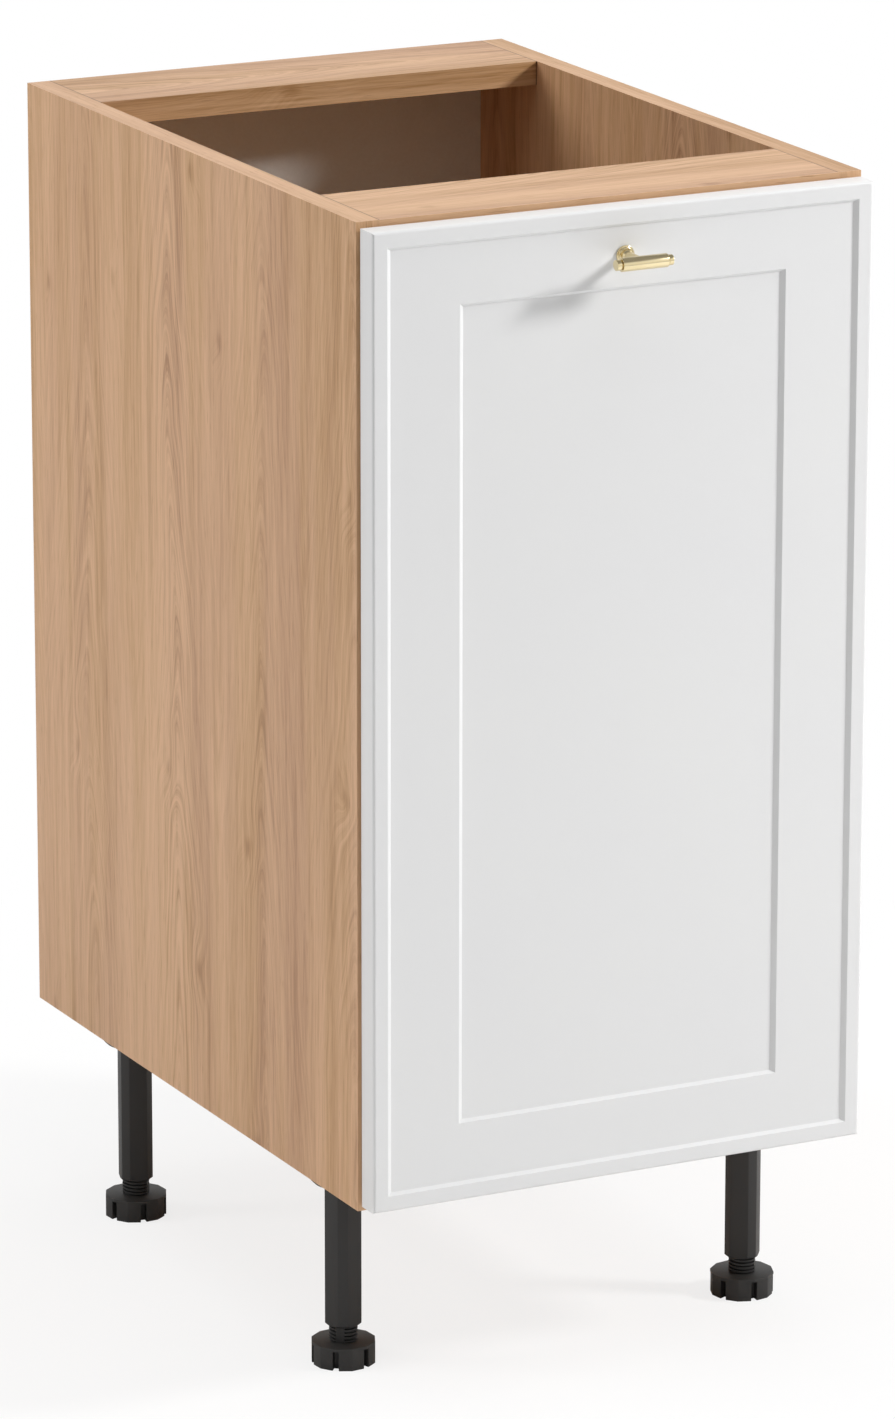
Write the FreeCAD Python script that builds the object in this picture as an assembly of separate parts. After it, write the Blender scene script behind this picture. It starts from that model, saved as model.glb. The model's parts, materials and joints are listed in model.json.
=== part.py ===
import FreeCAD, Part
import math
import os

# A kitchen base cabinet whose front tilts out on bottom hinges and carries a wire basket for
# vegetables. Millimetres; X to the right, Y to the back, Z up; the feet stand on Z = 0, and the
# origin is under the middle of the whole cabinet.

Vector = FreeCAD.Vector

# ------------------------------------------------------------------ driving sizes: carcass
carcass_width = 400.0
carcass_depth = 560.0
carcass_height = 720.0
board = 18.0
top_rail_width = 94.0
edge_band = 0.8
back_thickness = 3.0
back_inset = 1.5
nail_pitch = 110.0
nail_length = 18.0
nail_radius = 0.8
nail_head_radius = 2.5
nail_head_thickness = 0.6

# ------------------------------------------------------------------ driving sizes: fittings in the boards
cam_radius = 7.4
cam_height = 14.0
cam_setback = 24.0
cam_slot_depth = 3.0
cam_slot_width = 2.0
bolt_radius = 3.0
bolt_head_radius = 3.3
bolt_neck_radius = 2.2
bolt_head_length = 3.0
bolt_grip = 11.0
dowel_radius = 4.0
dowel_in_side = 12.0
dowel_in_board = 20.0
fitting_clearance = 0.1
fitting_edge_distance = 60.0
dowel_edge_distance = 160.0
rail_bolt_distance = 30.0
rail_dowel_distance = 64.0

# ------------------------------------------------------------------ driving sizes: door
door_side_margin = 2.0
door_end_margin = 4.0
door_thickness = 19.0
door_gap = 2.6
door_edge_round = 2.0
rim_width = 11.5
step_width = 3.5
step_depth = 2.6
frame_side = 69.0
frame_end = 57.0
bumper_radius = 4.0
bumper_air = 0.4

# ------------------------------------------------------------------ driving sizes: handle
handle_drop = 34.5
handle_standoff = 28.0
bar_radius = 5.0
bar_length = 36.0
bar_groove = 0.8
bar_groove_depth = 1.2
bar_tip_radius = 3.9
bar_tip_length = 3.4
stem_radius = 3.2
stem_collar_radius = 4.2
stem_collar_length = 2.0
rosette_radius = 7.0
rosette_step = 1.3
rosette_thickness = 2.6
handle_screw_radius = 2.0
handle_screw_head_radius = 4.0
handle_screw_head = 2.2
handle_screw_bite = 9.0

# ------------------------------------------------------------------ driving sizes: hinges
hinge_inset = 72.0
hinge_length = 60.0
hinge_door_air = 0.2
hinge_leaf = 1.1
hinge_knuckle_radius = 2.2
hinge_pin_radius = 1.0
hinge_pin_clearance = 0.05
hinge_play = 0.3
hinge_leaf_top_margin = 2.0
hinge_door_leaf_height = 28.0

# ------------------------------------------------------------------ driving sizes: stays and their guides
tilt_angle = 35.0
stay_radius = 260.0
stay_width = 14.0
stay_thickness = 3.0
stay_wall_gap = 4.0
stay_foot_height = 44.0
stay_foot_width = 20.0
stay_foot_thickness = 2.5
stay_pin_radius = 3.0
stay_pin_air = 0.6
stay_end_margin = 5.0
stay_play = 0.4
guide_setback = 9.0
guide_depth = 28.0
guide_height = 52.0
guide_thickness = 12.0

# ------------------------------------------------------------------ driving sizes: magnetic catch
catch_inset = 62.0
catch_width = 44.0
catch_block_width = 26.0
catch_height = 13.0
catch_depth = 15.0
catch_ear = 3.0
catch_magnet_width = 18.0
catch_magnet_height = 8.0
catch_magnet_depth = 5.0
catch_air = 0.3
strike_thickness = 1.4

# ------------------------------------------------------------------ driving sizes: basket
basket_side_air = 9.0
basket_depth = 300.0
basket_height = 500.0
basket_floor_gap = 15.0
rim_wire = 3.0
band_wire = 2.5
post_wire = 2.2
mesh_wire = 1.5
mesh_pitch = 24.0
band_pitch = 124.0
wire_overhang = 3.0
weld_bite = 0.3

# ------------------------------------------------------------------ driving sizes: basket hooks
hook_width = 15.0
hook_strip = 2.5
hook_play = 0.4
hook_lip = 7.0
hook_plate_height = 46.0
hook_band = 1  # which level wire the lower hooks hold, counted from the lowest, 0

# ------------------------------------------------------------------ driving sizes: legs
leg_height = 150.0
leg_inset_side = 34.0
leg_inset_front = 94.0
leg_inset_rear = 102.0
leg_plate_radius = 24.0
leg_plate_thickness = 11.5
leg_plate_bevel = 3.0
leg_spigot_radius = 9.0
leg_spigot_length = 8.0
leg_flats = 24.0
leg_wall = 1.2
leg_corner_cut = 5.2
leg_end_wall = 0.8
leg_end_taper = 1.8
leg_screw_circle = 17.0
spindle_shown = 12.0
spindle_hidden = 42.0
spindle_clearance = 0.3
thread_pitch = 2.8
thread_depth = 0.8
thread_crest = 0.8
thread_flank = 0.6
foot_radius = 24.0
foot_height = 17.0
foot_sides = 12
foot_notches = 6
foot_notch_width = 4.4
foot_notch_depth = 6.0
foot_notch_roof = 2.4

# ------------------------------------------------------------------ driving sizes: small screws
screw_radius = 1.6
screw_head_radius = 3.0
screw_clearance = 0.1
short_screw = 12.0
guide_screw = 24.0
leg_screw = 21.0

# ------------------------------------------------------------------ places worked out from the sizes
front_reach = door_gap + door_thickness - step_depth + handle_standoff + bar_radius
back_reach = carcass_depth + back_thickness + nail_head_thickness
carcass_front = (front_reach - back_reach) / 2
carcass_back = carcass_front + carcass_depth
carcass_bottom = leg_height
carcass_top = carcass_bottom + carcass_height
outer_x = carcass_width / 2
inner_x = outer_x - board
floor_top = carcass_bottom + board
rail_bottom = carcass_top - board

door_width = carcass_width - 2 * door_side_margin
door_height = carcass_height - 2 * door_end_margin
door_back = carcass_front - door_gap
door_front = door_back - door_thickness
door_bottom = carcass_bottom + door_end_margin
door_top = door_bottom + door_height
frame_face = door_front + step_depth
handle_z = door_top - handle_drop
bar_y = frame_face - handle_standoff

hinge_x = inner_x - hinge_inset
hinge_y = carcass_front - door_gap / 2
hinge_z = door_bottom - hinge_knuckle_radius - hinge_door_air
hinge_leaf_top = floor_top - hinge_leaf_top_margin

stay_outer_x = inner_x - stay_wall_gap
stay_inner_x = stay_outer_x - stay_thickness
stay_pin_proud = stay_wall_gap - stay_pin_air
guide_front = carcass_front + guide_setback
guide_back = guide_front + guide_depth
guide_z = hinge_z + math.sqrt(stay_radius**2 - (guide_front + guide_depth / 2 - hinge_y) ** 2)
guide_exit_angle = math.asin((guide_back - hinge_y) / stay_radius)
stay_pin_angle = guide_exit_angle + math.radians(tilt_angle) + (stay_pin_radius + stay_play) / stay_radius
stay_end_angle = stay_pin_angle + stay_end_margin / stay_radius
stay_foot_z = hinge_z + stay_radius

hook_face = door_back + hook_strip
mat_front_y = hook_face + hook_play + rim_wire
mat_back_y = mat_front_y + basket_depth - 2 * rim_wire
mat_side_x = stay_inner_x - basket_side_air - band_wire
basket_bottom = floor_top + basket_floor_gap + band_wire
basket_top = basket_bottom + basket_height - band_wire - rim_wire
band_count = max(hook_band + 1, round((basket_top - basket_bottom) / band_pitch))
band_heights = [basket_bottom + i * (basket_top - basket_bottom) / band_count for i in range(band_count)]


def wire_steps(span):
    """Where the mesh wires stand between two posts, centred, about one pitch apart."""
    count = max(2, round(span / mesh_pitch))
    return [-span / 2 + span * i / count for i in range(1, count)]


# The hooks hang between the third and the fourth mesh wire from each post.
hook_x = sum(wire_steps(2 * mat_side_x)[-4:-2]) / 2

spindle_radius = leg_flats / 2 - leg_wall - spindle_clearance
leg_places = {
    "front_left": (-(outer_x - leg_inset_side), carcass_front + leg_inset_front),
    "front_right": (outer_x - leg_inset_side, carcass_front + leg_inset_front),
    "rear_left": (-(outer_x - leg_inset_side), carcass_back - leg_inset_rear),
    "rear_right": (outer_x - leg_inset_side, carcass_back - leg_inset_rear),
}
# How far each tube and foot happens to be turned.
leg_turn_degrees = {"front_left": 18.0, "front_right": 49.0, "rear_left": 77.0, "rear_right": 30.0}
foot_turn_degrees = {"front_left": 50.0, "front_right": 25.0, "rear_left": 20.0, "rear_right": 5.0}
sides = {"left": -1, "right": 1}


# ------------------------------------------------------------------ small helpers
def block(x, y, z):
    """A box between pairs of X, Y and Z values, in either order."""
    low = Vector(min(x), min(y), min(z))
    return Part.makeBox(max(x) - low.x, max(y) - low.y, max(z) - low.z, low)


def rod(radius, start, end):
    """A round bar between two points."""
    start, end = Vector(*start), Vector(*end)
    return Part.makeCylinder(radius, (end - start).Length, start, end - start)


def prism(points, height):
    """A flat outline of points, pushed up along a vector."""
    return Part.Face(Part.makePolygon(points + points[:1])).extrude(height)


def turned(profile, start, direction):
    """A turned piece: profile lists (distance from start, radius) from one end to the other."""
    outline = [(profile[0][0], 0.0)] + list(profile) + [(profile[-1][0], 0.0)]
    points = []
    for along, radius in outline:
        point = Vector(radius, 0, along)
        if not points or (point - points[-1]).Length > 1e-6:
            points.append(point)
    face = Part.Face(Part.makePolygon(points + points[:1]))
    solid = face.revolve(Vector(0, 0, 0), Vector(0, 0, 1), 360)
    turn = FreeCAD.Rotation(Vector(0, 0, 1), Vector(*direction))
    solid.Placement = FreeCAD.Placement(Vector(*start), turn)
    return solid


def fused(shapes):
    """One solid out of shapes that cross or touch."""
    return shapes[0].fuse(shapes[1:]).removeSplitter()


def screw(start, direction, length, head=screw_head_radius, shank=screw_radius):
    """A countersunk screw, its flat head at start."""
    cone = head - shank
    return turned([(0, head), (cone, shank), (length - shank, shank), (length, 0)], start, direction)


def screw_hole(start, direction, length, head=screw_head_radius, shank=screw_radius):
    """The countersunk hole that such a screw fills, with its clearance."""
    wide, narrow = head + screw_clearance, shank + screw_clearance
    profile = [(-board, wide), (0, wide), (head - shank, narrow), (length + screw_clearance, narrow)]
    return turned(profile, start, direction)


def save(name, *pieces):
    """Writes one sub-part, a single solid or a group of separate ones."""
    shape = pieces[0] if len(pieces) == 1 else Part.makeCompound(list(pieces))
    if len(shape.Solids) != len(pieces) or not shape.isValid():
        raise ValueError(f"{name}: {len(shape.Solids)} solids for {len(pieces)} pieces")
    shape.exportStep(f"parts/{name}.step")


def save_screws(name, places):
    """Writes the screws of both sides as one group; places(side) lists them for one side."""
    save(name, *[screw(*place) for side in sides.values() for place in places(side)])


# ------------------------------------------------------------------ hidden fittings between the boards
def board_joints():
    """(side, y of bolt, y of dowel, underside of the board) for every joint between a board and a side."""
    joints = []
    for side in sides.values():
        for bolt_y, dowel_y in (
            (carcass_front + fitting_edge_distance, carcass_front + dowel_edge_distance),
            (carcass_back - fitting_edge_distance, carcass_back - dowel_edge_distance),
        ):
            joints.append((side, bolt_y, dowel_y, carcass_bottom))
        for start, inward in ((carcass_front, 1), (carcass_back, -1)):
            bolt_y, dowel_y = start + inward * rail_bolt_distance, start + inward * rail_dowel_distance
            joints.append((side, bolt_y, dowel_y, rail_bottom))
    return joints


def bolt(side, y, z, grow=0.0):
    """The steel bolt from a side panel to the middle of a cam."""
    grip = bolt_grip + grow
    neck = grip + cam_setback - bolt_head_length
    profile = [(0, bolt_radius + grow), (grip, bolt_radius + grow), (grip, bolt_neck_radius + grow),
               (neck, bolt_neck_radius + grow), (neck, bolt_head_radius + grow),
               (neck + bolt_head_length, bolt_head_radius + grow)]
    return turned(profile, (side * (inner_x + grip), y, z + board / 2), (-side, 0, 0))


def bolt_bore(side, y, z):
    """The bore along a board, from its end to the cam."""
    mid = z + board / 2
    end = inner_x - cam_setback - fitting_clearance
    return rod(bolt_head_radius + fitting_clearance, (side * inner_x, y, mid), (side * end, y, mid))


def cam(side, y, z):
    """The cam lock, sunk into the underside of a board, with its slot for a screwdriver."""
    x = side * (inner_x - cam_setback)
    body = rod(cam_radius, (x, y, z), (x, y, z + cam_height))
    slots = [
        block((x - cam_radius / 2, x + cam_radius / 2), (y - cam_slot_width / 2, y + cam_slot_width / 2),
              (z, z + cam_slot_depth)),
        block((x - cam_slot_width / 2, x + cam_slot_width / 2), (y - cam_radius / 2, y + cam_radius / 2),
              (z, z + cam_slot_depth)),
    ]
    return body.cut(slots + [bolt_bore(side, y, z)])


def cam_bore(side, y, z):
    x = side * (inner_x - cam_setback)
    return rod(cam_radius + fitting_clearance, (x, y, z), (x, y, z + cam_height + fitting_clearance))


def dowel(side, y, z, grow=0.0):
    mid = z + board / 2
    start = (side * (inner_x - dowel_in_board - grow), y, mid)
    return rod(dowel_radius + grow, start, (side * (inner_x + dowel_in_side + grow), y, mid))


def make_fittings():
    joints = board_joints()
    save("cam_locks", *[cam(side, bolt_y, z) for side, bolt_y, dowel_y, z in joints])
    save("cam_bolts", *[bolt(side, bolt_y, z) for side, bolt_y, dowel_y, z in joints])
    save("wood_dowels", *[dowel(side, dowel_y, z) for side, bolt_y, dowel_y, z in joints])


def side_bores(side):
    """What the fittings take out of one side panel."""
    bores = []
    for joint_side, bolt_y, dowel_y, z in board_joints():
        if joint_side == side:
            bores.append(bolt(side, bolt_y, z, fitting_clearance))
            bores.append(dowel(side, dowel_y, z, fitting_clearance))
    return bores


def board_bores(z):
    """What the fittings take out of the boards whose underside is at z."""
    bores = []
    for side, bolt_y, dowel_y, joint_z in board_joints():
        if joint_z == z:
            bores.append(cam_bore(side, bolt_y, z))
            bores.append(bolt_bore(side, bolt_y, z))
            bores.append(dowel(side, dowel_y, z, fitting_clearance))
    return bores


# ------------------------------------------------------------------ carcass
def nail_places():
    """(x, z) of every nail, round the edge of the back panel and over the middle of each board."""
    places = []
    count = max(2, round(carcass_height / nail_pitch))
    low, high = carcass_bottom + board / 2, carcass_top - board / 2
    for i in range(count + 1):
        z = low + (high - low) * i / count
        places += [(side * (outer_x - board / 2), z) for side in sides.values()]
    inner_count = max(2, round(carcass_width / nail_pitch))
    for i in range(1, inner_count):
        x = -inner_x + 2 * inner_x * i / inner_count
        places += [(x, low), (x, high)]
    return places


def nail(x, z):
    tip = back_thickness + nail_length
    profile = [(-nail_head_thickness, nail_head_radius), (0, nail_head_radius), (0, nail_radius),
               (tip - nail_radius, nail_radius), (tip, 0)]
    return turned(profile, (x, carcass_back + back_thickness, z), (0, -1, 0))


def nail_bore(x, z):
    start = carcass_back + back_thickness
    radius = nail_radius + fitting_clearance
    return rod(radius, (x, start, z), (x, start - back_thickness - nail_length - fitting_clearance, z))


def make_carcass():
    depth = (carcass_front + edge_band, carcass_back)
    band = (carcass_front, carcass_front + edge_band)
    nails = [nail_bore(x, z) for x, z in nail_places()]
    knuckles = [hinge_pocket(side) for side in sides.values()]
    fixed_holes = [hole for side in sides.values() for hole in hinge_cabinet_holes(side)]
    leg_holes = [hole for place in leg_places.values() for hole in leg_screws(place, screw_hole)]

    for name, side in sides.items():
        across = (side * inner_x, side * outer_x)
        panel = block(across, depth, (carcass_bottom, carcass_top))
        guide_holes = [screw_hole(*place) for place in guide_screw_places(side)]
        save(f"{name}_side_panel", panel.cut(side_bores(side) + nails + guide_holes))

    inside = (-inner_x, inner_x)
    floor = block(inside, depth, (carcass_bottom, floor_top))
    floor_holes = board_bores(carcass_bottom) + nails + knuckles + fixed_holes + leg_holes
    save("bottom_panel", floor.cut(floor_holes))

    rail_height = (rail_bottom, carcass_top)
    front_rail = block(inside, (depth[0], carcass_front + top_rail_width), rail_height)
    catch_holes = [screw_hole(*place) for place in catch_screw_places()]
    save("front_top_rail", front_rail.cut(board_bores(rail_bottom) + catch_holes))
    rear_rail = block(inside, (carcass_back - top_rail_width, carcass_back), rail_height)
    save("rear_top_rail", rear_rail.cut(board_bores(rail_bottom) + nails))

    back = block((-outer_x + back_inset, outer_x - back_inset),
                 (carcass_back, carcass_back + back_thickness),
                 (carcass_bottom + back_inset, carcass_top - back_inset))
    save("back_panel", back.cut(nails))
    save("back_panel_nails", *[nail(x, z) for x, z in nail_places()])

    height = (carcass_bottom, carcass_top)
    bands = [block((side * inner_x, side * outer_x), band, height) for side in sides.values()]
    bands.append(block(inside, band, (carcass_bottom, floor_top)).cut(knuckles + fixed_holes))
    bands.append(block(inside, band, rail_height))
    save("edge_bands", *bands)


# ------------------------------------------------------------------ legs
def leg_screws(place, make):
    """The four screws of a leg plate, or the holes for them."""
    x, y = place
    spots = [(x + leg_screw_circle * math.cos(a), y + leg_screw_circle * math.sin(a))
             for a in (math.radians(45 + 90 * i) for i in range(4))]
    start_z = carcass_bottom - leg_plate_thickness
    return [make((sx, sy, start_z), (0, 0, 1), leg_screw) for sx, sy in spots]


def leg_plate(place):
    """The round plate under the carcass, with the socket for the tube's spigot."""
    x, y = place
    straight = leg_plate_thickness - leg_plate_bevel
    disc = turned([(0, leg_plate_radius), (straight, leg_plate_radius),
                   (leg_plate_thickness, leg_plate_radius - leg_plate_bevel)],
                  (x, y, carcass_bottom), (0, 0, -1))
    bottom = carcass_bottom - leg_plate_thickness
    socket_top = bottom + leg_spigot_length + fitting_clearance
    socket = rod(leg_spigot_radius + fitting_clearance, (x, y, bottom), (x, y, socket_top))
    return disc.cut([socket] + leg_screws(place, screw_hole))


def leg_tube(place, turn):
    """The square tube with cut corners, bored from below for the spindle."""
    x, y = place
    bottom = foot_height + spindle_shown
    top = carcass_bottom - leg_plate_thickness
    half, flat = leg_flats / 2, leg_flats / 2 - leg_corner_cut
    corners = [(flat, half), (half, flat), (half, -flat), (flat, -half),
               (-flat, -half), (-half, -flat), (-half, flat), (-flat, half)]
    tube = prism([Vector(px, py, bottom) for px, py in corners], Vector(0, 0, top - bottom))
    tip, corner = spindle_radius + spindle_clearance + leg_end_wall, math.hypot(half, flat)
    envelope = turned([(0, tip), (leg_end_taper, corner), (top - bottom, corner + leg_end_taper)],
                      (0, 0, bottom), (0, 0, 1))
    tube = tube.common(envelope)
    tube = tube.fuse(rod(leg_spigot_radius, (0, 0, top), (0, 0, top + leg_spigot_length)))
    bore_top = foot_height + spindle_shown + spindle_hidden + spindle_shown
    bore = rod(spindle_radius + spindle_clearance, (0, 0, bottom), (0, 0, bore_top))
    tube = tube.cut(bore)
    tube.Placement = FreeCAD.Placement(Vector(x, y, 0), FreeCAD.Rotation(Vector(0, 0, 1), turn))
    return tube


def leg_foot(place, turn):
    """The foot and its threaded spindle, one moulding; the thread is a stack of rings."""
    x, y = place
    corners = [Vector(foot_radius * math.cos(2 * math.pi * i / foot_sides),
                      foot_radius * math.sin(2 * math.pi * i / foot_sides), 0) for i in range(foot_sides)]
    foot = prism(corners, Vector(0, 0, foot_height))
    notch = block((foot_radius - foot_notch_depth, foot_radius + foot_notch_depth),
                  (-foot_notch_width / 2, foot_notch_width / 2), (0, foot_height - foot_notch_roof))
    notches = []
    for i in range(foot_notches):
        copy = notch.copy()
        copy.rotate(Vector(0, 0, 0), Vector(0, 0, 1), 360 * i / foot_notches)
        notches.append(copy)
    foot = foot.cut(notches)

    root = spindle_radius - thread_depth
    length = spindle_shown + spindle_hidden
    profile = [(-foot_notch_roof, root)]
    for i in range(1, int(length / thread_pitch)):
        crest = i * thread_pitch
        profile += [(crest - thread_flank, root), (crest, spindle_radius),
                    (crest + thread_crest, spindle_radius), (crest + thread_crest + thread_flank, root)]
    profile.append((length, root))
    spindle = turned(profile, (0, 0, foot_height), (0, 0, 1))
    foot = fused([foot, spindle])
    foot.Placement = FreeCAD.Placement(Vector(x, y, 0), FreeCAD.Rotation(Vector(0, 0, 1), turn))
    return foot


def make_legs():
    for name, place in leg_places.items():
        save(f"leg_plate_{name}", leg_plate(place))
        save(f"leg_tube_{name}", leg_tube(place, leg_turn_degrees[name]))
        save(f"leg_foot_{name}", leg_foot(place, foot_turn_degrees[name]))
    save("leg_plate_screws", *[s for place in leg_places.values() for s in leg_screws(place, screw)])


# ------------------------------------------------------------------ hinges
def knuckle_spans(side):
    """(start, end) in X of the three knuckles of a hinge: cabinet leaf, door leaf, cabinet leaf."""
    start = side * hinge_x - hinge_length / 2
    third = hinge_length / 3
    return [(start + i * third, start + (i + 1) * third) for i in range(3)]


def hinge_screw_xs(side):
    return [side * hinge_x + step * hinge_length / 3 for step in (-1, 1)]


def hinge_pocket(side):
    """Room in the bottom panel's front edge for the knuckles."""
    reach = hinge_length / 2 + hinge_play
    across = (side * hinge_x - reach, side * hinge_x + reach)
    deep = hinge_y + hinge_knuckle_radius + hinge_play
    high = hinge_z + hinge_knuckle_radius + hinge_play
    return block(across, (carcass_front - board, deep), (carcass_bottom - board, high))


def hinge_cabinet_places(side):
    z = (hinge_z + hinge_knuckle_radius + hinge_leaf_top) / 2
    return [((x, carcass_front - hinge_leaf, z), (0, 1, 0), short_screw) for x in hinge_screw_xs(side)]


def hinge_cabinet_holes(side):
    return [screw_hole(*place) for place in hinge_cabinet_places(side)]


def hinge_door_places(side):
    z = (hinge_leaf_top + hinge_z + hinge_door_leaf_height) / 2 + hinge_play
    return [((x, door_back + hinge_leaf, z), (0, -1, 0), short_screw) for x in hinge_screw_xs(side)]


def hinge_pin(side, grow=0.0):
    spans = knuckle_spans(side)
    return rod(hinge_pin_radius + grow, (spans[0][0], hinge_y, hinge_z), (spans[-1][1], hinge_y, hinge_z))


def hinge_leaf_solid(side, mine, plate_y, top, holes):
    """One leaf: a plate and the knuckles whose numbers are in mine, bored for the pin."""
    spans = knuckle_spans(side)
    plate = block((spans[0][0], spans[-1][1]), plate_y, (hinge_z, top))
    knuckles, rooms = [], []
    reach = hinge_knuckle_radius + hinge_play
    for i, (start, end) in enumerate(spans):
        if i in mine:
            low = start + (0 if i == 0 else hinge_play / 2)
            high = end - (0 if i == len(spans) - 1 else hinge_play / 2)
            knuckles.append(rod(hinge_knuckle_radius, (low, hinge_y, hinge_z), (high, hinge_y, hinge_z)))
        else:
            low = start - (0 if i == 0 else hinge_play / 2)
            high = end + (0 if i == len(spans) - 1 else hinge_play / 2)
            rooms.append(block((low, high), (hinge_y - reach, hinge_y + reach),
                               (hinge_z - reach, hinge_z + reach)))
    leaf = fused([plate.cut(rooms)] + knuckles)
    return leaf.cut([hinge_pin(side, hinge_pin_clearance)] + holes)


def make_hinges():
    for name, side in sides.items():
        plate_y = (carcass_front - hinge_leaf, carcass_front)
        fixed = hinge_leaf_solid(side, (0, 2), plate_y, hinge_leaf_top, hinge_cabinet_holes(side))
        save(f"{name}_hinge_cabinet_leaf", fixed)
        plate_y, top = (door_back, door_back + hinge_leaf), hinge_z + hinge_door_leaf_height
        door_holes = [screw_hole(*place) for place in hinge_door_places(side)]
        save(f"{name}_hinge_door_leaf", hinge_leaf_solid(side, (1,), plate_y, top, door_holes))
    save("hinge_pins", *[hinge_pin(side) for side in sides.values()])
    save_screws("hinge_cabinet_screws", hinge_cabinet_places)
    save_screws("hinge_door_screws", hinge_door_places)


# ------------------------------------------------------------------ stays that stop the door when open
def on_stay(radius, angle, x):
    """The point at a radius from the hinge line, at an angle behind the upright."""
    return Vector(x, hinge_y + radius * math.sin(angle), hinge_z + radius * math.cos(angle))


def stay_band(width, start, end, x_range):
    """A flat bar bent round the hinge line, between two angles."""
    low, high = min(x_range), max(x_range)
    inner, outer, mid = stay_radius - width / 2, stay_radius + width / 2, (start + end) / 2
    edges = [
        Part.Arc(on_stay(inner, start, low), on_stay(inner, mid, low), on_stay(inner, end, low)).toShape(),
        Part.LineSegment(on_stay(inner, end, low), on_stay(outer, end, low)).toShape(),
        Part.Arc(on_stay(outer, end, low), on_stay(outer, mid, low), on_stay(outer, start, low)).toShape(),
        Part.LineSegment(on_stay(outer, start, low), on_stay(inner, start, low)).toShape(),
    ]
    return Part.Face(Part.Wire(edges)).extrude(Vector(high - low, 0, 0))


def stay_pin(side, grow=0.0):
    centre = on_stay(stay_radius, stay_pin_angle, 0)
    proud = stay_pin_proud + grow
    return rod(stay_pin_radius + grow, (side * (stay_inner_x - proud), centre.y, centre.z),
               (side * (stay_outer_x + proud), centre.y, centre.z))


def stay_screw_places(side):
    x = side * (stay_inner_x - (stay_foot_width - stay_thickness) / 2)
    step = stay_foot_height / 2 - screw_head_radius - stay_foot_thickness
    start = door_back + stay_foot_thickness
    return [((x, start, stay_foot_z + up * step), (0, -1, 0), short_screw) for up in (-1, 1)]


def quadrant_stay(side):
    """The bent bar with its foot on the back of the door."""
    plate = block((side * (stay_outer_x - stay_foot_width), side * stay_outer_x),
                  (door_back, door_back + stay_foot_thickness),
                  (stay_foot_z - stay_foot_height / 2, stay_foot_z + stay_foot_height / 2))
    start = math.asin((door_back + stay_foot_thickness / 2 - hinge_y) / stay_radius)
    bar = stay_band(stay_width, start, stay_end_angle, (side * stay_inner_x, side * stay_outer_x))
    holes = [screw_hole(*place) for place in stay_screw_places(side)]
    return fused([plate, bar]).cut(holes + [stay_pin(side, hinge_pin_clearance)])


def guide_screw_places(side):
    start_x = side * (inner_x - guide_thickness)
    step = (guide_height + stay_width) / 4 + stay_play / 2
    y = (guide_front + guide_back) / 2
    return [((start_x, y, guide_z + up * step), (side, 0, 0), guide_screw) for up in (-1, 1)]


def stay_guide(side):
    """The block on the side panel that the bent bar slides through."""
    body = block((side * (inner_x - guide_thickness), side * inner_x), (guide_front, guide_back),
                 (guide_z - guide_height / 2, guide_z + guide_height / 2))
    start = math.asin((guide_front - board - hinge_y) / stay_radius)
    end = math.asin((guide_back + board - hinge_y) / stay_radius)
    slot = stay_band(stay_width + 2 * stay_play, start, end,
                     (side * (stay_inner_x - stay_play), side * (stay_outer_x + stay_play)))
    return body.cut([slot] + [screw_hole(*place) for place in guide_screw_places(side)])


def make_stays():
    for name, side in sides.items():
        save(f"{name}_quadrant_stay", quadrant_stay(side))
        save(f"{name}_stay_guide", stay_guide(side))
    save("stay_end_pins", *[stay_pin(side) for side in sides.values()])
    save_screws("stay_screws", stay_screw_places)
    save_screws("stay_guide_screws", guide_screw_places)


# ------------------------------------------------------------------ magnetic catch
catch_x = inner_x - catch_inset
catch_face = door_back + strike_thickness + catch_air
catch_z = rail_bottom - catch_height / 2


def catch_screw_places():
    ear_middle = (catch_width + catch_block_width) / 4
    y, z = carcass_front + catch_depth / 2, rail_bottom - catch_ear
    return [((catch_x + step * ear_middle, y, z), (0, 0, 1), short_screw) for step in (-1, 1)]


def magnet_block(grow=0.0):
    wide, high = catch_magnet_width / 2 + grow, catch_magnet_height / 2 + grow
    return block((catch_x - wide, catch_x + wide), (catch_face, catch_face + catch_magnet_depth + grow),
                 (catch_z - high, catch_z + high))


def make_catch():
    back = carcass_front + catch_depth
    half, block_half = catch_width / 2, catch_block_width / 2
    ear_height = (rail_bottom - catch_ear, rail_bottom)
    ears = block((catch_x - half, catch_x + half), (carcass_front, back), ear_height)
    body = block((catch_x - block_half, catch_x + block_half), (catch_face + catch_air, back),
                 (rail_bottom - catch_height, rail_bottom))
    body = fused([body, ears])
    holes = [screw_hole(*place) for place in catch_screw_places()]
    save("catch_body", body.cut([magnet_block(fitting_clearance)] + holes))
    save("catch_magnet", magnet_block())
    save("catch_screws", *[screw(*p) for p in catch_screw_places()])
    plate = block((catch_x - block_half, catch_x + block_half), (door_back, door_back + strike_thickness),
                  (catch_z - catch_height / 2, catch_z + catch_height / 2))
    save("catch_strike_plate", plate.cut(screw_hole(*strike_screw_place())))
    save("strike_plate_screw", screw(*strike_screw_place()))


def strike_screw_place():
    return ((catch_x, door_back + strike_thickness, catch_z), (0, -1, 0), short_screw)


# ------------------------------------------------------------------ door and handle
def stepped_recess(side_inset, end_inset, face):
    """A recess with sloping walls, one step deep, cut into the door from the plane y = face."""
    loops = []
    for inset, y in ((0.0, face), (step_width, face + step_depth)):
        x = door_width / 2 - side_inset - inset
        low, high = door_bottom + end_inset + inset, door_top - end_inset - inset
        corners = [Vector(-x, y, low), Vector(x, y, low), Vector(x, y, high), Vector(-x, y, high)]
        loops.append(Part.makePolygon(corners + corners[:1]))
    return Part.makeLoft(loops, True, True)


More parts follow.
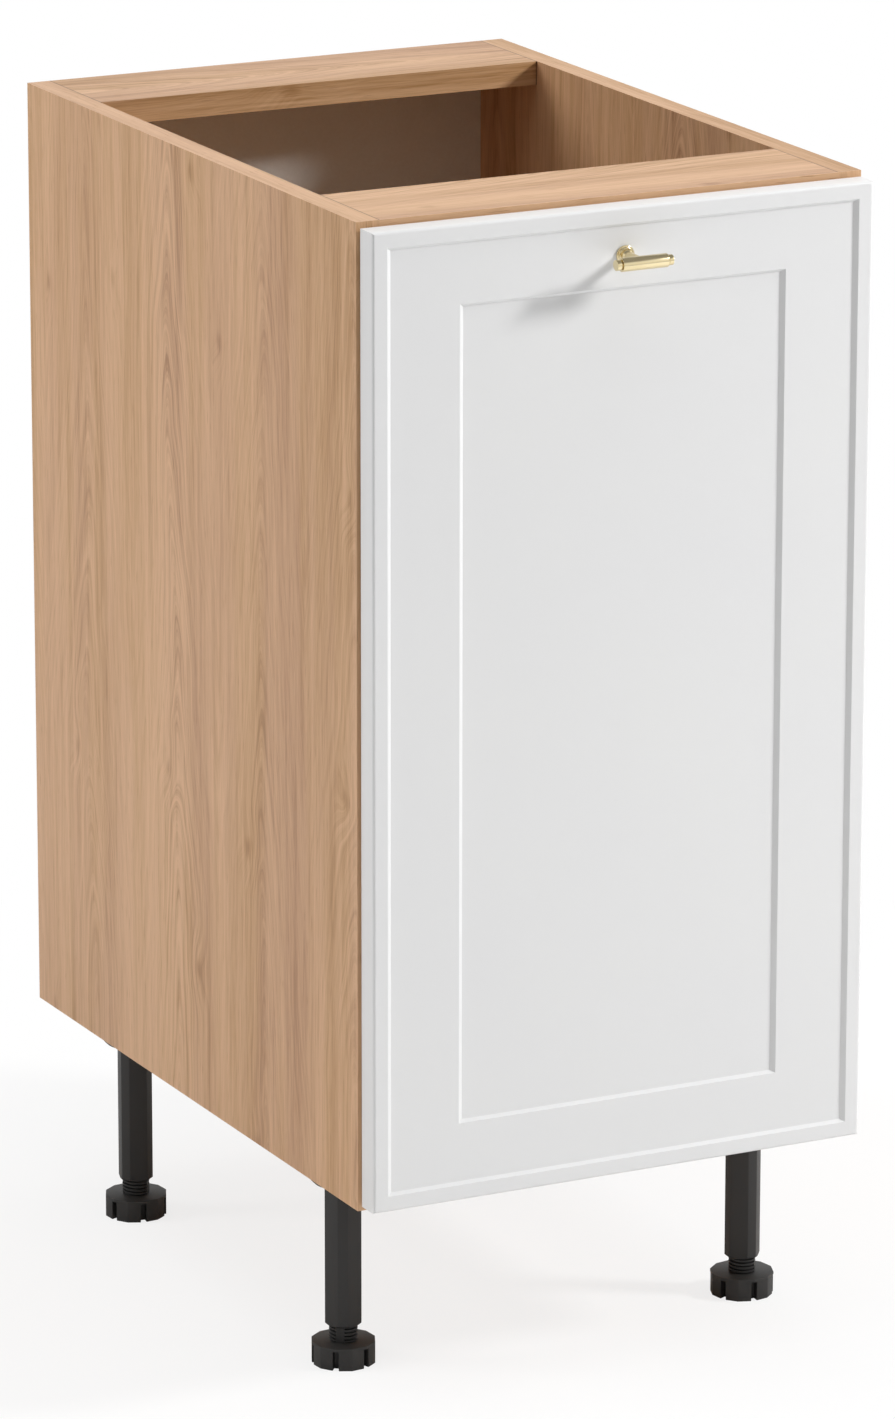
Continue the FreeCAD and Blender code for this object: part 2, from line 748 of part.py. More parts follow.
def door_panel():
    slab = block((-door_width / 2, door_width / 2), (door_front, door_back), (door_bottom, door_top))
    front_edges = [e for e in slab.Edges if all(abs(v.Point.y - door_front) < 1e-6 for v in e.Vertexes)]
    slab = slab.makeFillet(door_edge_round, front_edges)
    outer = stepped_recess(rim_width, rim_width, door_front)
    inner = stepped_recess(frame_side, frame_end, frame_face)
    holes = []
    for side in sides.values():
        places = hinge_door_places(side) + stay_screw_places(side) + hook_screw_places(side)
        holes += [screw_hole(*place) for place in places]
    holes.append(screw_hole(*strike_screw_place()))
    holes.append(handle_screw(door_back - door_front, screw_clearance))
    return slab.cut([outer, inner] + holes)


def handle_screw(length, grow=0.0):
    """The screw through the door from behind, or with grow the hole that it needs."""
    head, shank = handle_screw_head_radius + grow, handle_screw_radius + grow
    profile = [(0, head), (handle_screw_head + grow, head), (handle_screw_head + grow, shank),
               (length + grow, shank)]
    return turned(profile, (0, door_back, handle_z), (0, -1, 0))


def handle_pieces():
    rosette = turned([(0, rosette_radius), (rosette_thickness / 2, rosette_radius),
                      (rosette_thickness / 2, rosette_radius - rosette_step),
                      (rosette_thickness, rosette_radius - rosette_step)],
                     (0, frame_face, handle_z), (0, -1, 0))
    stem_start = frame_face - rosette_thickness
    stem_length = stem_start - bar_y
    taper = stem_collar_length + stem_collar_radius - stem_radius
    stem = turned([(0, stem_collar_radius), (stem_collar_length, stem_collar_radius),
                   (taper, stem_radius), (stem_length, stem_radius)],
                  (0, stem_start, handle_z), (0, -1, 0))
    half = bar_length / 2
    tip, waist = half + bar_groove, bar_tip_radius - bar_groove_depth
    bar = turned([(-tip - bar_tip_length, bar_tip_radius), (-tip, bar_tip_radius), (-tip, waist),
                  (-half, waist), (-half, bar_radius), (half, bar_radius), (half, waist),
                  (tip, waist), (tip, bar_tip_radius), (tip + bar_tip_length, bar_tip_radius)],
                 (0, bar_y, handle_z), (1, 0, 0))
    stem = stem.cut(rod(bar_radius, (-half, bar_y, handle_z), (half, bar_y, handle_z)))
    screw_length = door_back - stem_start + handle_screw_bite
    bore = handle_screw(screw_length, fitting_clearance)
    return rosette.cut(bore), stem.cut(bore), bar, handle_screw(screw_length)


def make_front():
    save("door_panel", door_panel())
    rosette, stem, bar, fixing = handle_pieces()
    save("handle_rosette", rosette)
    save("handle_stem", stem)
    save("handle_bar", bar)
    save("handle_screw", fixing)
    x, z = inner_x + board / 2, rail_bottom + board / 2
    end = carcass_front - bumper_air
    save("door_bumpers", *[rod(bumper_radius, (side * x, door_back, z), (side * x, end, z))
                           for side in sides.values()])


# ------------------------------------------------------------------ hooks that the basket hangs in
def hook_levels():
    """The (name, height, wire radius) of the two wires that the hooks hold."""
    return [("upper", basket_top, rim_wire), ("lower", band_heights[hook_band], band_wire)]


def hook_bottom(z, wire):
    return z - wire - hook_play - hook_strip


def hook_screw_places(side):
    places = []
    for name, z, wire in hook_levels():
        bottom = hook_bottom(z, wire)
        for up in (-1, 1):
            step = bottom - hook_plate_height / 2 + up * hook_plate_height / 4
            places.append(((side * hook_x, hook_face, step), (0, -1, 0), short_screw))
    return places


def basket_hook(side, z, wire):
    """A bent strip: a plate on the door, an arm under the wire and a lip behind it."""
    bottom = hook_bottom(z, wire)
    arm_end = mat_front_y + wire + hook_play + hook_strip
    plate_end = bottom - hook_plate_height
    profile = [
        (door_back, plate_end), (hook_face, plate_end), (hook_face, bottom),
        (arm_end, bottom), (arm_end, z + hook_lip), (arm_end - hook_strip, z + hook_lip),
        (arm_end - hook_strip, bottom + hook_strip), (hook_face, bottom + hook_strip),
        (hook_face, z + hook_lip), (door_back, z + hook_lip),
    ]
    low = side * hook_x - hook_width / 2
    return prism([Vector(low, y, height) for y, height in profile], Vector(hook_width, 0, 0))


def make_hooks():
    for side_name, side in sides.items():
        holes = [screw_hole(*p) for p in hook_screw_places(side)]
        for level, z, wire in hook_levels():
            save(f"{level}_{side_name}_basket_hook", basket_hook(side, z, wire).cut(holes))
    save_screws("basket_hook_screws", hook_screw_places)


# ------------------------------------------------------------------ wire basket
def band_list():
    """(height, wire radius) of every level wire of a wall."""
    return [(z, band_wire) for z in band_heights] + [(basket_top, rim_wire)]


def wire(radius, start, end, turn=90.0):
    """A rod turned about itself, so that the seam of its surface isn't where other wires cross it."""
    piece = rod(radius, start, end)
    piece.rotate(Vector(*start), Vector(*end) - Vector(*start), turn)
    return piece


def wall_across(y):
    """The front or back wall: level wires, two posts and the mesh wires."""
    end = mat_side_x + wire_overhang
    wires = [wire(radius, (-end, y, z), (end, y, z)) for z, radius in band_list()]
    wires += [wire(post_wire, (side * mat_side_x, y, basket_bottom), (side * mat_side_x, y, basket_top))
              for side in sides.values()]
    wires += [wire(mesh_wire, (x, y, basket_bottom), (x, y, basket_top)) for x in wire_steps(2 * mat_side_x)]
    return fused(wires)


def wall_along(x):
    """A side wall, welded between the front and the back wall."""
    middle = (mat_front_y + mat_back_y) / 2
    wires = []
    for z, radius in band_list():
        start, end = mat_front_y + radius - weld_bite, mat_back_y - radius + weld_bite
        wires.append(wire(radius, (x, start, z), (x, end, z)))
    wires += [wire(mesh_wire, (x, middle + step, basket_bottom), (x, middle + step, basket_top), 0)
              for step in wire_steps(mat_back_y - mat_front_y)]
    return fused(wires)


def basket_base():
    """The floor of the basket, welded between the lowest wires of the four walls."""
    z = basket_bottom
    start, end = mat_front_y + band_wire - weld_bite, mat_back_y - band_wire + weld_bite
    side = mat_side_x - band_wire + weld_bite
    middle = (mat_front_y + mat_back_y) / 2
    wires = [wire(mesh_wire, (x, start, z), (x, end, z), 0) for x in wire_steps(2 * mat_side_x)]
    count = max(2, round((mat_back_y - mat_front_y) / (3 * mesh_pitch)))
    for i in range(1, count):
        y = middle + (mat_back_y - mat_front_y) * (i / count - 0.5)
        wires.append(wire(post_wire, (-side, y, z), (side, y, z), 0))
    return fused(wires)


def make_basket():
    save("basket_front_wall", wall_across(mat_front_y))
    save("basket_back_wall", wall_across(mat_back_y))
    save("basket_left_wall", wall_along(-mat_side_x))
    save("basket_right_wall", wall_along(mat_side_x))
    save("basket_base", basket_base())


os.makedirs("parts", exist_ok=True)
make_carcass()
make_fittings()
make_legs()
make_hinges()
make_stays()
make_catch()
make_front()
make_hooks()
make_basket()

basket_corner = math.hypot(mat_back_y + rim_wire - hinge_y, basket_top + rim_wire - hinge_z)
print(f"carcass front at y {carcass_front:.2f}, hinge line at y {hinge_y:.2f}, z {hinge_z:.2f}")
print(f"basket corner swings at {basket_corner:.1f}, under {rail_bottom - catch_height - hinge_z:.1f}")
print(f"stay pin at {math.degrees(stay_pin_angle):.2f} degrees behind the upright, tilt {tilt_angle:.0f}")
print(f"room to lift the basket {rail_bottom - basket_top - rim_wire:.1f}")
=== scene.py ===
# %% [markdown]
# # A tilt-out kitchen cabinet, dressed for a studio picture
#
# The cabinet comes in as finished solids: boards, a white front, legs, hinges, stays and a wire
# basket, each one already in its place. This lesson gives them their finishes, replaces the pieces
# that need a finer shape, and sets up the light and the camera. Everything is in metres, X to the
# right, Y to the back and Z up, with the feet standing on Z = 0.

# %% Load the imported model
import json
import math
import bmesh
import bpy
from mathutils import Matrix, Vector

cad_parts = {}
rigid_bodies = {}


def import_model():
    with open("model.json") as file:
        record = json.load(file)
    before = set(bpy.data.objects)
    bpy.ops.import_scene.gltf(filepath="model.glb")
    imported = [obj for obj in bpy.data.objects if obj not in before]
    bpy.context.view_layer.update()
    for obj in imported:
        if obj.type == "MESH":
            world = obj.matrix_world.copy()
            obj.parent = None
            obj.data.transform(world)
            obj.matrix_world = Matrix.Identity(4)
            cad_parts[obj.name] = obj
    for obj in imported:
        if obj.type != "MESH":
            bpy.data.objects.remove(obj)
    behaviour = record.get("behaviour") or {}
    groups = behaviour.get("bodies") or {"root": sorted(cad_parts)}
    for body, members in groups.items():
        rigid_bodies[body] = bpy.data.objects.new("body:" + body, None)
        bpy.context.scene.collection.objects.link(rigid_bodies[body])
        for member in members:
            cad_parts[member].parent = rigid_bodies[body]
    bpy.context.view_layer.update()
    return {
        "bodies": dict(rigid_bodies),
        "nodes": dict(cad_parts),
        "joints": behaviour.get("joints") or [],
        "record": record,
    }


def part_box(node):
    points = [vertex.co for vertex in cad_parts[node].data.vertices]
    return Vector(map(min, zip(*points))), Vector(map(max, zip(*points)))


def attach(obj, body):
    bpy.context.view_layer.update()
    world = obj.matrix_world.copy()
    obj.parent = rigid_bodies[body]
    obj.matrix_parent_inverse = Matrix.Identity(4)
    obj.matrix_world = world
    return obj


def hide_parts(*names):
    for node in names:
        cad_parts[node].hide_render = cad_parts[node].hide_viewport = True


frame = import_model()
nodes = frame["nodes"]

# %% [markdown]
# ## The camera
#
# The picture is taken from the front left and a little above. A camera is easiest to aim by
# a target point, a distance and two angles: this is how a photographer walks round an object. The
# lens is long, because the upright edges stay almost parallel.

# %% Aim the camera
TARGET = Vector((0.0125, 0.0242, 0.4252))
DISTANCE = 5.807
AZIMUTH, ELEVATION, ROLL = math.radians(-26.79), math.radians(15.62), math.radians(0.07)
SENSOR_WIDE, FOCAL_LENGTH = 36.0, 197.3  # in millimetres


def placed(name, data):
    """A new object in the scene that holds the data."""
    made = bpy.data.objects.new(name, data)
    bpy.context.scene.collection.objects.link(made)
    return made


back = Vector((math.sin(AZIMUTH) * math.cos(ELEVATION),
               -math.cos(AZIMUTH) * math.cos(ELEVATION), math.sin(ELEVATION)))
lens = bpy.data.cameras.new("studio_camera")
lens.sensor_width, lens.lens = SENSOR_WIDE, FOCAL_LENGTH
camera = placed("studio_camera", lens)
turn = (-back).to_track_quat("-Z", "Y").to_matrix() @ Matrix.Rotation(ROLL, 3, "Z")
camera.matrix_world = Matrix.Translation(TARGET + back * DISTANCE) @ turn.to_4x4()
bpy.context.scene.camera = camera
print(f"camera {DISTANCE:.2f} m away, lens {lens.lens:.0f} mm")

# %% [markdown]
# ## Writing node maths as sums
#
# A material is a small network of nodes. Long networks are hard to read, so one class wraps an
# output socket and lets Python's own signs add the Math nodes: `1 - rings * 0.3` makes two nodes
# and the links between them. Every other kind of node comes from the one method `node`.


# %% A socket that can be used in sums
class Signal:
    def __init__(self, tree, socket=None):
        self.tree = tree
        self.socket = socket

    def node(self, kind, settings=None, inputs=None, output=0):
        """Adds a node: its settings first, then a value or a link for each socket named."""
        made = self.tree.nodes.new(kind)
        for key, value in (settings or {}).items():
            setattr(made, key, value)
        for key, value in (inputs or {}).items():
            if isinstance(value, Signal):
                self.tree.links.new(value.socket, made.inputs[key])
            else:
                made.inputs[key].default_value = value
        return Signal(self.tree, made.outputs[output])

    def maths(self, operation, *values):
        return self.node("ShaderNodeMath", {"operation": operation}, dict(enumerate(values)))

    def __add__(self, other):
        return self.maths("ADD", self, other)

    def __sub__(self, other):
        return self.maths("SUBTRACT", self, other)

    def __rsub__(self, other):
        return self.maths("SUBTRACT", other, self)

    def __mul__(self, other):
        return self.maths("MULTIPLY", self, other)

    def __truediv__(self, other):
        return self.maths("DIVIDE", self, other)

    def __pow__(self, other):
        return self.maths("POWER", self, other)

    __radd__ = __add__
    __rmul__ = __mul__

    def between(self, low, high):
        """0 below low, 1 above high, and a soft step between them."""
        return self.node("ShaderNodeMapRange", {"interpolation_type": "SMOOTHSTEP"},
                         {"Value": self, "From Min": low, "From Max": high})

    def mix(self, first, second):
        """The colour first where this signal is 0 and second where it is 1."""
        return self.node("ShaderNodeMix", {"data_type": "RGBA"}, {0: self, 6: first, 7: second}, 2)

    def parts(self):
        """The X, Y and Z of a vector, one signal each."""
        split = self.node("ShaderNodeSeparateXYZ", inputs={0: self}).socket.node
        return [Signal(self.tree, output) for output in split.outputs]


# %% [markdown]
# ## Materials: how each one starts
#
# Every finish here is a Principled shader. `Finish` makes one with its even values set straight on
# the sockets, and gives the object's own coordinates to draw patterns with. A pattern is a noise
# that is stretched by different scales along X, Y and Z.


# %% The start of every finish
def colour(red, green, blue):
    """A colour written as a screen shows it, 0 to 255, turned into the light it stands for."""
    parts = [c / 255 for c in (red, green, blue)]
    return [c / 12.92 if c <= 0.04045 else ((c + 0.055) / 1.055) ** 2.4 for c in parts] + [1.0]


class Finish:
    def __init__(self, name, **even_values):
        self.material = bpy.data.materials.new(name)
        self.material.use_nodes = True
        self.tree = self.material.node_tree
        self.tree.nodes.clear()
        self.shader = self.tree.nodes.new("ShaderNodeBsdfPrincipled")
        self.output = self.tree.nodes.new("ShaderNodeOutputMaterial")
        self.tree.links.new(self.shader.outputs[0], self.output.inputs["Surface"])
        for key, value in even_values.items():
            self.shader.inputs[key.replace("_", " ")].default_value = value
        self.start = Signal(self.tree)
        self.place = self.start.node("ShaderNodeTexCoord", output="Object")

    def vector(self, x, y, z):
        return self.start.node("ShaderNodeCombineXYZ", inputs={0: x, 1: y, 2: z})

    def noise(self, scale, detail=3.0, roughness=0.5, where=None, seed=0.0):
        return self.start.node("ShaderNodeTexNoise", {"noise_dimensions": "4D"},
                               {"Vector": where or self.place, "W": seed, "Scale": scale,
                                "Detail": detail, "Roughness": roughness})

    def feed(self, socket, signal):
        self.tree.links.new(signal.socket, self.shader.inputs[socket])

    def bump(self, height, distance, strength=1.0):
        self.feed("Normal", self.start.node(
            "ShaderNodeBump", inputs={"Height": height, "Distance": distance, "Strength": strength}))


def dress(material, *names):
    """Gives CAD solids a finish; their shapes stay as they are."""
    for name in names:
        mesh = nodes[name].data
        mesh.materials.clear()
        mesh.materials.append(material)
    print(f"{material.name}: {', '.join(names)}")


# %% [markdown]
# ## Oak-grained boards
#
# The boards are chipboard under a printed oak layer. The print shows plain-sawn oak: growth rings
# are long tubes round the heart of the trunk, a little narrower towards its top. A board cut beside
# the heart shows them as straight lines at its sides and as pointed arches in the middle. So the
# arches aren't drawn: the distance from a wandering heart line is worked out, the taper is added
# along the board, and a noise read along that sum gives rings of uneven width and strength. Where
# a small knot sits, the distance is pushed up, and the rings flow round it by themselves. Broad
# bands, strands, fine fibres and short dark pores go on top. Where a level board ends against a
# side, a thin painted shadow line darkens its end.

# %% Colours of the oak print
OAK_PALE = colour(218, 176, 137)
OAK_ROSY = colour(181, 138, 104)
OAK_TAN = colour(176, 133, 86)
OAK_DEEP = colour(146, 105, 68)
# The colour of the painted shadow line where a level board meets a side.
OAK_JOINT_SHADOW = colour(92, 66, 45)

# %% Sizes of the print, in metres
BOARD_HALF = 0.182  # half the space between the sides
COLUMN = 0.075  # half the distance between two columns of arches
HEART_WANDER, HEART_WAVE = 0.07, 0.011  # how far the heart line strays, slowly and quickly
ARCH_ROUND = 0.00005  # this, under the root, keeps the tips of the arches round
RING_WIDE = 0.0028
KNOT_PUSH = 0.012  # how far a knot pushes the rings out
# The painted shadow line at a level board's ends starts and is full at these distances.
JOINT_SHADOW_FROM, JOINT_SHADOW_FULL = 0.0012, 0.0004  # where the joint's dark line starts and is full


# %% Which way the grain runs
def grain_axes(finish, run):
    """Coordinates along, across and through the grain. Top edges have their own band, along Y."""
    x, y, z = finish.place.parts()
    if run == "level":
        return x, y + z, z
    facing = finish.start.node("ShaderNodeTexCoord", output="Normal").parts()[2]
    top = facing.maths("GREATER_THAN", facing, 0.5)
    if run == "upright":
        return z + (y - z) * top, y + (x - y) * top, x * (1 - top)
    level = x.maths("LESS_THAN", x.maths("ABSOLUTE", x), BOARD_HALF)
    return z + (x - z) * level, x + (z - x) * level, y


# %% An oak print for one board
def oak(name, run, seed, heart, painted_shading=0.0):
    """heart is where the heart line lies across the board; the last argument paints shade above 0 and
    light below 0.
    """
    finish = Finish(name, Specular_IOR_Level=0.3)
    long, wide, deep = grain_axes(finish, run)

    def streaks(along, across, detail, roughness, step):
        """Noise stretched along the grain; along and across are in patches per metre."""
        where = finish.vector(long * along, wide * across, deep * across)
        return finish.noise(1.0, detail, roughness, where, seed + step) - 0.5

    slow, quick = streaks(2.2, 3.0, 2.0, 0.5, 0.0), streaks(14.0, 22.0, 1.0, 0.5, 9.0)
    offset = wide - heart + slow * HEART_WANDER + quick * HEART_WAVE
    side = offset.maths("PINGPONG", offset, COLUMN)
    taper = streaks(1.9, 3.0, 1.0, 0.5, 1.0) * 0.10 + long * 0.13
    knots = finish.vector(long * 0.6 + seed, wide + streaks(20.0, 30.0, 1.0, 0.5, 2.0) * 0.02, 0.0)
    cells = finish.start.node("ShaderNodeTexVoronoi", {"feature": "F1", "voronoi_dimensions": "2D"},
                              {"Vector": knots, "Scale": 6.5})
    swell = 1 - cells.between(0.0, 0.16)
    radius = (side * side + ARCH_ROUND) ** 0.5 + taper + swell * KNOT_PUSH
    main = 1 - offset.maths("ABSOLUTE", offset).between(0.05, 0.1)
    figure = (1 - side.between(0.012, 0.048)) * (0.35 + main * 0.65)
    along_rings = finish.vector(radius / RING_WIDE, long * 3.0, offset * 8.0)
    rings = finish.noise(1.0, 4.0, 0.7, along_rings, seed + 3.0) - 0.5
    bands = streaks(0.9, 22.0, 3.0, 0.55, 4.0)
    strands = streaks(2.2, 120.0, 4.0, 0.62, 10.0)
    fibres = streaks(9.0, 330.0, 3.0, 0.65, 5.0)
    hairs = streaks(26.0, 900.0, 3.0, 0.7, 6.0)
    pore = streaks(48.0, 900.0, 1.0, 0.5, 7.0).between(0.12, 0.26) * 0.45
    eye = (1 - cells.between(0.0, 0.05)) * (0.3 + hairs * 1.2)
    # The last term is painted shading: painted shade above 0, painted light below 0.
    shade = (rings * (0.8 + figure * 1.7) + bands * 1.2 + strands * 0.8 + fibres * 0.8
             + hairs * 0.7 + eye + painted_shading).between(-0.46, 0.56)
    warm = (streaks(1.4, 22.0, 2.0, 0.5, 8.0) + strands * 0.3).between(-0.12, 0.12)
    body = shade.mix(OAK_PALE, warm.mix(OAK_ROSY, OAK_TAN))
    body = shade.between(0.7, 1.4).mix(body, OAK_DEEP)
    if run == "level":
        # A painted shadow line darkens the board's two ends, where it meets the sides.
        end = long.maths("ABSOLUTE", long)
        joint_shadow = end.between(BOARD_HALF - JOINT_SHADOW_FROM, BOARD_HALF - JOINT_SHADOW_FULL) * 0.8
        body = joint_shadow.mix(body, OAK_JOINT_SHADOW)
    finish.feed("Base Color", pore.mix(body, OAK_DEEP))
    finish.feed("Roughness", 0.43 + pore * 0.3 + fibres * 0.1)
    finish.bump(fibres * 0.3 + hairs * 0.2 - pore, 0.00012)
    return finish.material


# %% Print each board
dress(oak("oak_left_side", "upright", seed=2.0, heart=0.05), "left_side_panel")
dress(oak("oak_right_side", "upright", seed=9.0, heart=-0.02), "right_side_panel")
dress(oak("oak_floor", "level", seed=4.0, heart=0.1), "bottom_panel")
# The rear rail is printed darker as painted shade, where less of the key lamp reaches it; the front rail
# and the edge bands are printed paler as painted light, as if lit more from above.
dress(oak("oak_front_rail", "level", seed=5.0, heart=0.72, painted_shading=-0.02), "front_top_rail")
dress(oak("oak_rear_rail", "level", seed=6.0, heart=1.125, painted_shading=0.1), "rear_top_rail")
dress(oak("oak_edges", "edges", seed=8.0, heart=0.3, painted_shading=-0.22), "edge_bands")

# %% [markdown]
# ## The back board
#
# The back is a thin fibre board with a pale grey-beige face, coloured almost white here as painted
# light for the dim inside of the cabinet. Seen close it is faintly mottled, like paper, with a
# shallow pressed texture.


# %% The back board's finish
def back_board():
    finish = Finish("back_board_face")
    cloud = finish.noise(9.0, 4.0, 0.6, seed=1.0)
    fleck = finish.noise(420.0, 3.0, 0.7, seed=2.0)
    tone = (cloud - 0.5) * 0.8 + (fleck - 0.5) * 1.2 + 0.5
    # These near-white colours are painted light: they brighten the shaded inside of the cabinet.
    finish.feed("Base Color", tone.mix(colour(232, 228, 220), colour(244, 241, 235)))
    finish.feed("Roughness", 0.7 + (fleck - 0.5) * 0.2)
    finish.bump(fleck, 0.0002, 0.5)
    return finish.material


dress(back_board(), "back_panel")

# %% [markdown]
# ## White lacquer
#
# The front is milled fibre board, sprayed white and left satin. Sprayed lacquer is never quite
# flat: it has a soft, shallow ripple called orange peel, and its gloss varies a little. Both come
# from noise, at about four millimetres for the ripple and a hand's width for the gloss.


# %% The lacquer's finish
def lacquer():
    finish = Finish("white_lacquer")
    peel = finish.noise(260.0, 2.0, 0.4, seed=3.0)
    cloud = finish.noise(7.0, 2.0, 0.5, seed=4.0)
    finish.feed("Base Color", cloud.mix(colour(229, 229, 230), colour(232, 232, 231)))
    finish.feed("Roughness", 0.36 + (cloud - 0.5) * 0.08 + (peel - 0.5) * 0.05)
    finish.bump(peel, 0.00005, 0.5)
    return finish.material


white_lacquer = lacquer()

# %% [markdown]
# ## Metals
#
# Brass and zinc are the same idea with different numbers: a metallic shader whose roughness is
# broken up. The brass handle is polished on a lathe, so its marks run round the bar, which noise
# squeezed along X gives. Zinc plating has small crystals, which a cell pattern gives. The magnet
# is the same with darker greys.


# %% Brass, zinc and the magnet
def brass():
    finish = Finish("polished_brass", Metallic=1.0)
    lathe = finish.start.node(
        "ShaderNodeMapping", inputs={"Vector": finish.place, "Scale": (2600.0, 60.0, 60.0)})
    marks = finish.noise(1.0, 3.0, 0.6, lathe, 1.0)
    cloud = finish.noise(90.0, 2.0, 0.5, seed=2.0)
    finish.feed("Base Color", cloud.mix(colour(221, 204, 160), colour(231, 216, 178)))
    finish.feed("Roughness", 0.13 + marks * 0.07 + (cloud - 0.5) * 0.05)
    finish.bump(marks, 0.00001, 0.5)
    return finish.material


def zinc(name, dark, light, base_roughness):
    finish = Finish(name, Metallic=1.0)
    crystal = finish.start.node("ShaderNodeTexVoronoi", {"feature": "F1"},
                                {"Vector": finish.place, "Scale": 300.0}, "Color")
    grey = crystal.node("ShaderNodeRGBToBW", inputs={0: crystal})
    cloud = finish.noise(60.0, 3.0, 0.6, seed=6.0)
    tone = grey * 0.4 + cloud * 0.6
    finish.feed("Base Color", tone.mix(dark, light))
    finish.feed("Roughness", base_roughness + (tone - 0.5) * 0.2)
    finish.bump(cloud, 0.00003, 0.4)
    return finish.material


polished_brass = brass()
zinc_plate = zinc("zinc_plate", colour(150, 152, 153), colour(188, 190, 190), 0.36)
grey_ferrite = zinc("grey_ferrite", colour(66, 66, 67), colour(92, 92, 93), 0.6)
dress(zinc_plate, "left_hinge_cabinet_leaf", "right_hinge_cabinet_leaf", "left_hinge_door_leaf",
      "right_hinge_door_leaf", "hinge_pins", "left_quadrant_stay", "right_quadrant_stay",
      "stay_end_pins", "cam_locks", "cam_bolts", "catch_strike_plate", "handle_screw")
dress(grey_ferrite, "catch_magnet")

# %% [markdown]
# ## Plastics and wood
#
# Moulded plastic takes the texture of its mould: a fine spark-eroded grain. One function makes the
# charcoal of the legs, the white of the guides and the clear pads, with their own numbers. The
# dowels are plain beech with short dark flecks.


# %% Moulded plastics
def moulded(name, low, high, grain, depth, roughness, **even_values):
    finish = Finish(name, **even_values)
    spark = finish.noise(grain, 3.0, 0.65, seed=5.0)
    cloud = finish.noise(24.0, 3.0, 0.55, seed=8.0)
    finish.feed("Base Color", (cloud * 0.6 + spark * 0.4).mix(low, high))
    finish.feed("Roughness", roughness + (spark - 0.5) * 0.18 + (cloud - 0.5) * 0.08)
    finish.bump(spark, depth, 0.6)
    return finish.material


charcoal_plastic = moulded("charcoal_plastic", colour(38, 37, 36), colour(46, 45, 44),
                           grain=1500.0, depth=0.0001, roughness=0.52, Specular_IOR_Level=0.38)
white_plastic = moulded("white_moulding", colour(222, 222, 219), colour(232, 232, 229),
                        grain=1300.0, depth=0.00005, roughness=0.42)
clear_pad = moulded("clear_pad", colour(214, 216, 215), colour(226, 228, 227),
                    grain=700.0, depth=0.00002, roughness=0.2)
places = ("front_left", "front_right", "rear_left", "rear_right")
dress(charcoal_plastic, *[f"leg_plate_{place}" for place in places],
      *[f"leg_tube_{place}" for place in places], *[f"leg_foot_{place}" for place in places])
dress(white_plastic, "left_stay_guide", "right_stay_guide", "catch_body")
dress(clear_pad, "door_bumpers")


# %% Beech dowels
def beech():
    finish = Finish("beech_dowel", Roughness=0.6)
    stretched = finish.start.node(
        "ShaderNodeMapping", inputs={"Vector": finish.place, "Scale": (30.0, 420.0, 420.0)})
    grain = finish.noise(1.0, 3.0, 0.6, stretched, 2.0)
    fleck = finish.noise(1.0, 1.0, 0.5, stretched, 9.0).between(0.62, 0.7)
    tone = grain * 0.7 + fleck * 0.3
    finish.feed("Base Color", tone.mix(colour(216, 184, 146), colour(176, 134, 98)))
    finish.bump(grain, 0.0001, 0.5)
    return finish.material


dress(beech(), "wood_dowels")

# %% [markdown]
# ## The white front
#
# The front's face is milled in two steps: a narrow step close to the outer edge, and a wider one
# round the middle panel. All of it is a pile of nested rectangles, each at its own depth. Two
# sections from the edge inwards, one for the sides and one for the ends, give their insets, and
# quads join the neighbours. Where the cutter's edge meets the face the lacquer rounds the corner,
# so each corner of a section is spread over a small arc.


# %% A helper: round the corners of an outline
def rounded(points, radii, steps=4):
    """Replaces each corner of an open outline by an arc; radius 0 keeps the corner."""
    corners = [Vector((x, y, 0.0)) for x, y in points]
    result = []
    for i, (here, radius) in enumerate(zip(corners, radii)):
        if radius == 0 or i in (0, len(points) - 1):
            result.append(here)
            continue
        before, after = (corners[i - 1] - here).normalized(), (corners[i + 1] - here).normalized()
        half_turn = before.angle(after) / 2
        reach = radius / math.tan(half_turn)
        centre = here + (before + after).normalized() * radius / math.sin(half_turn)
        start, end = here + before * reach - centre, here + after * reach - centre
        for step in range(steps + 1):
            share = step / steps
            result.append(centre + (start * (1 - share) + end * share).normalized() * radius)
    return result


# %% A helper: make a bmesh a piece of the cabinet
def mesh_from(bm, name):
    """The bmesh as a plain mesh."""
    mesh = bpy.data.meshes.new(name)
    bm.to_mesh(mesh)
    bm.free()
    return mesh


def piece_from(bm, name, material, body, *replaced, slot):
    """A piece that rides on a body and stands in for CAD solids."""
    piece = placed(name, mesh_from(bm, name))
    piece.data.materials.append(material)
    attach(piece, body)
    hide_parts(*replaced)
    triangles = sum(len(p.vertices) - 2 for p in piece.data.polygons)
    print(f"{piece.name}: {triangles} triangles on {body}")
    return piece


# %% Mill the front
MM = 0.001
RIM, STEP_WIDE, STEP_TALL, STEP_DEEP = 11.5 * MM, 3.5 * MM, 2.2 * MM, 2.6 * MM
STILE, RAIL = 69.0 * MM, 57.0 * MM
EDGE_ROUND, CUTTER_ROUND = 2.0 * MM, 0.5 * MM
PANEL_POINT = 100.0 * MM  # somewhere on the middle panel

low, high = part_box("door_panel")


def section(rim, frame, step, thick):
    """The front's section from its edge inwards: points (inset, depth from the front face)."""
    outline = {(0.0, thick): 0, (0.0, 0.0): EDGE_ROUND, (rim, 0.0): CUTTER_ROUND,
               (rim + step, STEP_DEEP): CUTTER_ROUND, (frame, STEP_DEEP): CUTTER_ROUND,
               (frame + step, 2 * STEP_DEEP): CUTTER_ROUND, (PANEL_POINT, 2 * STEP_DEEP): 0}
    return rounded(list(outline), outline.values())[:-1]


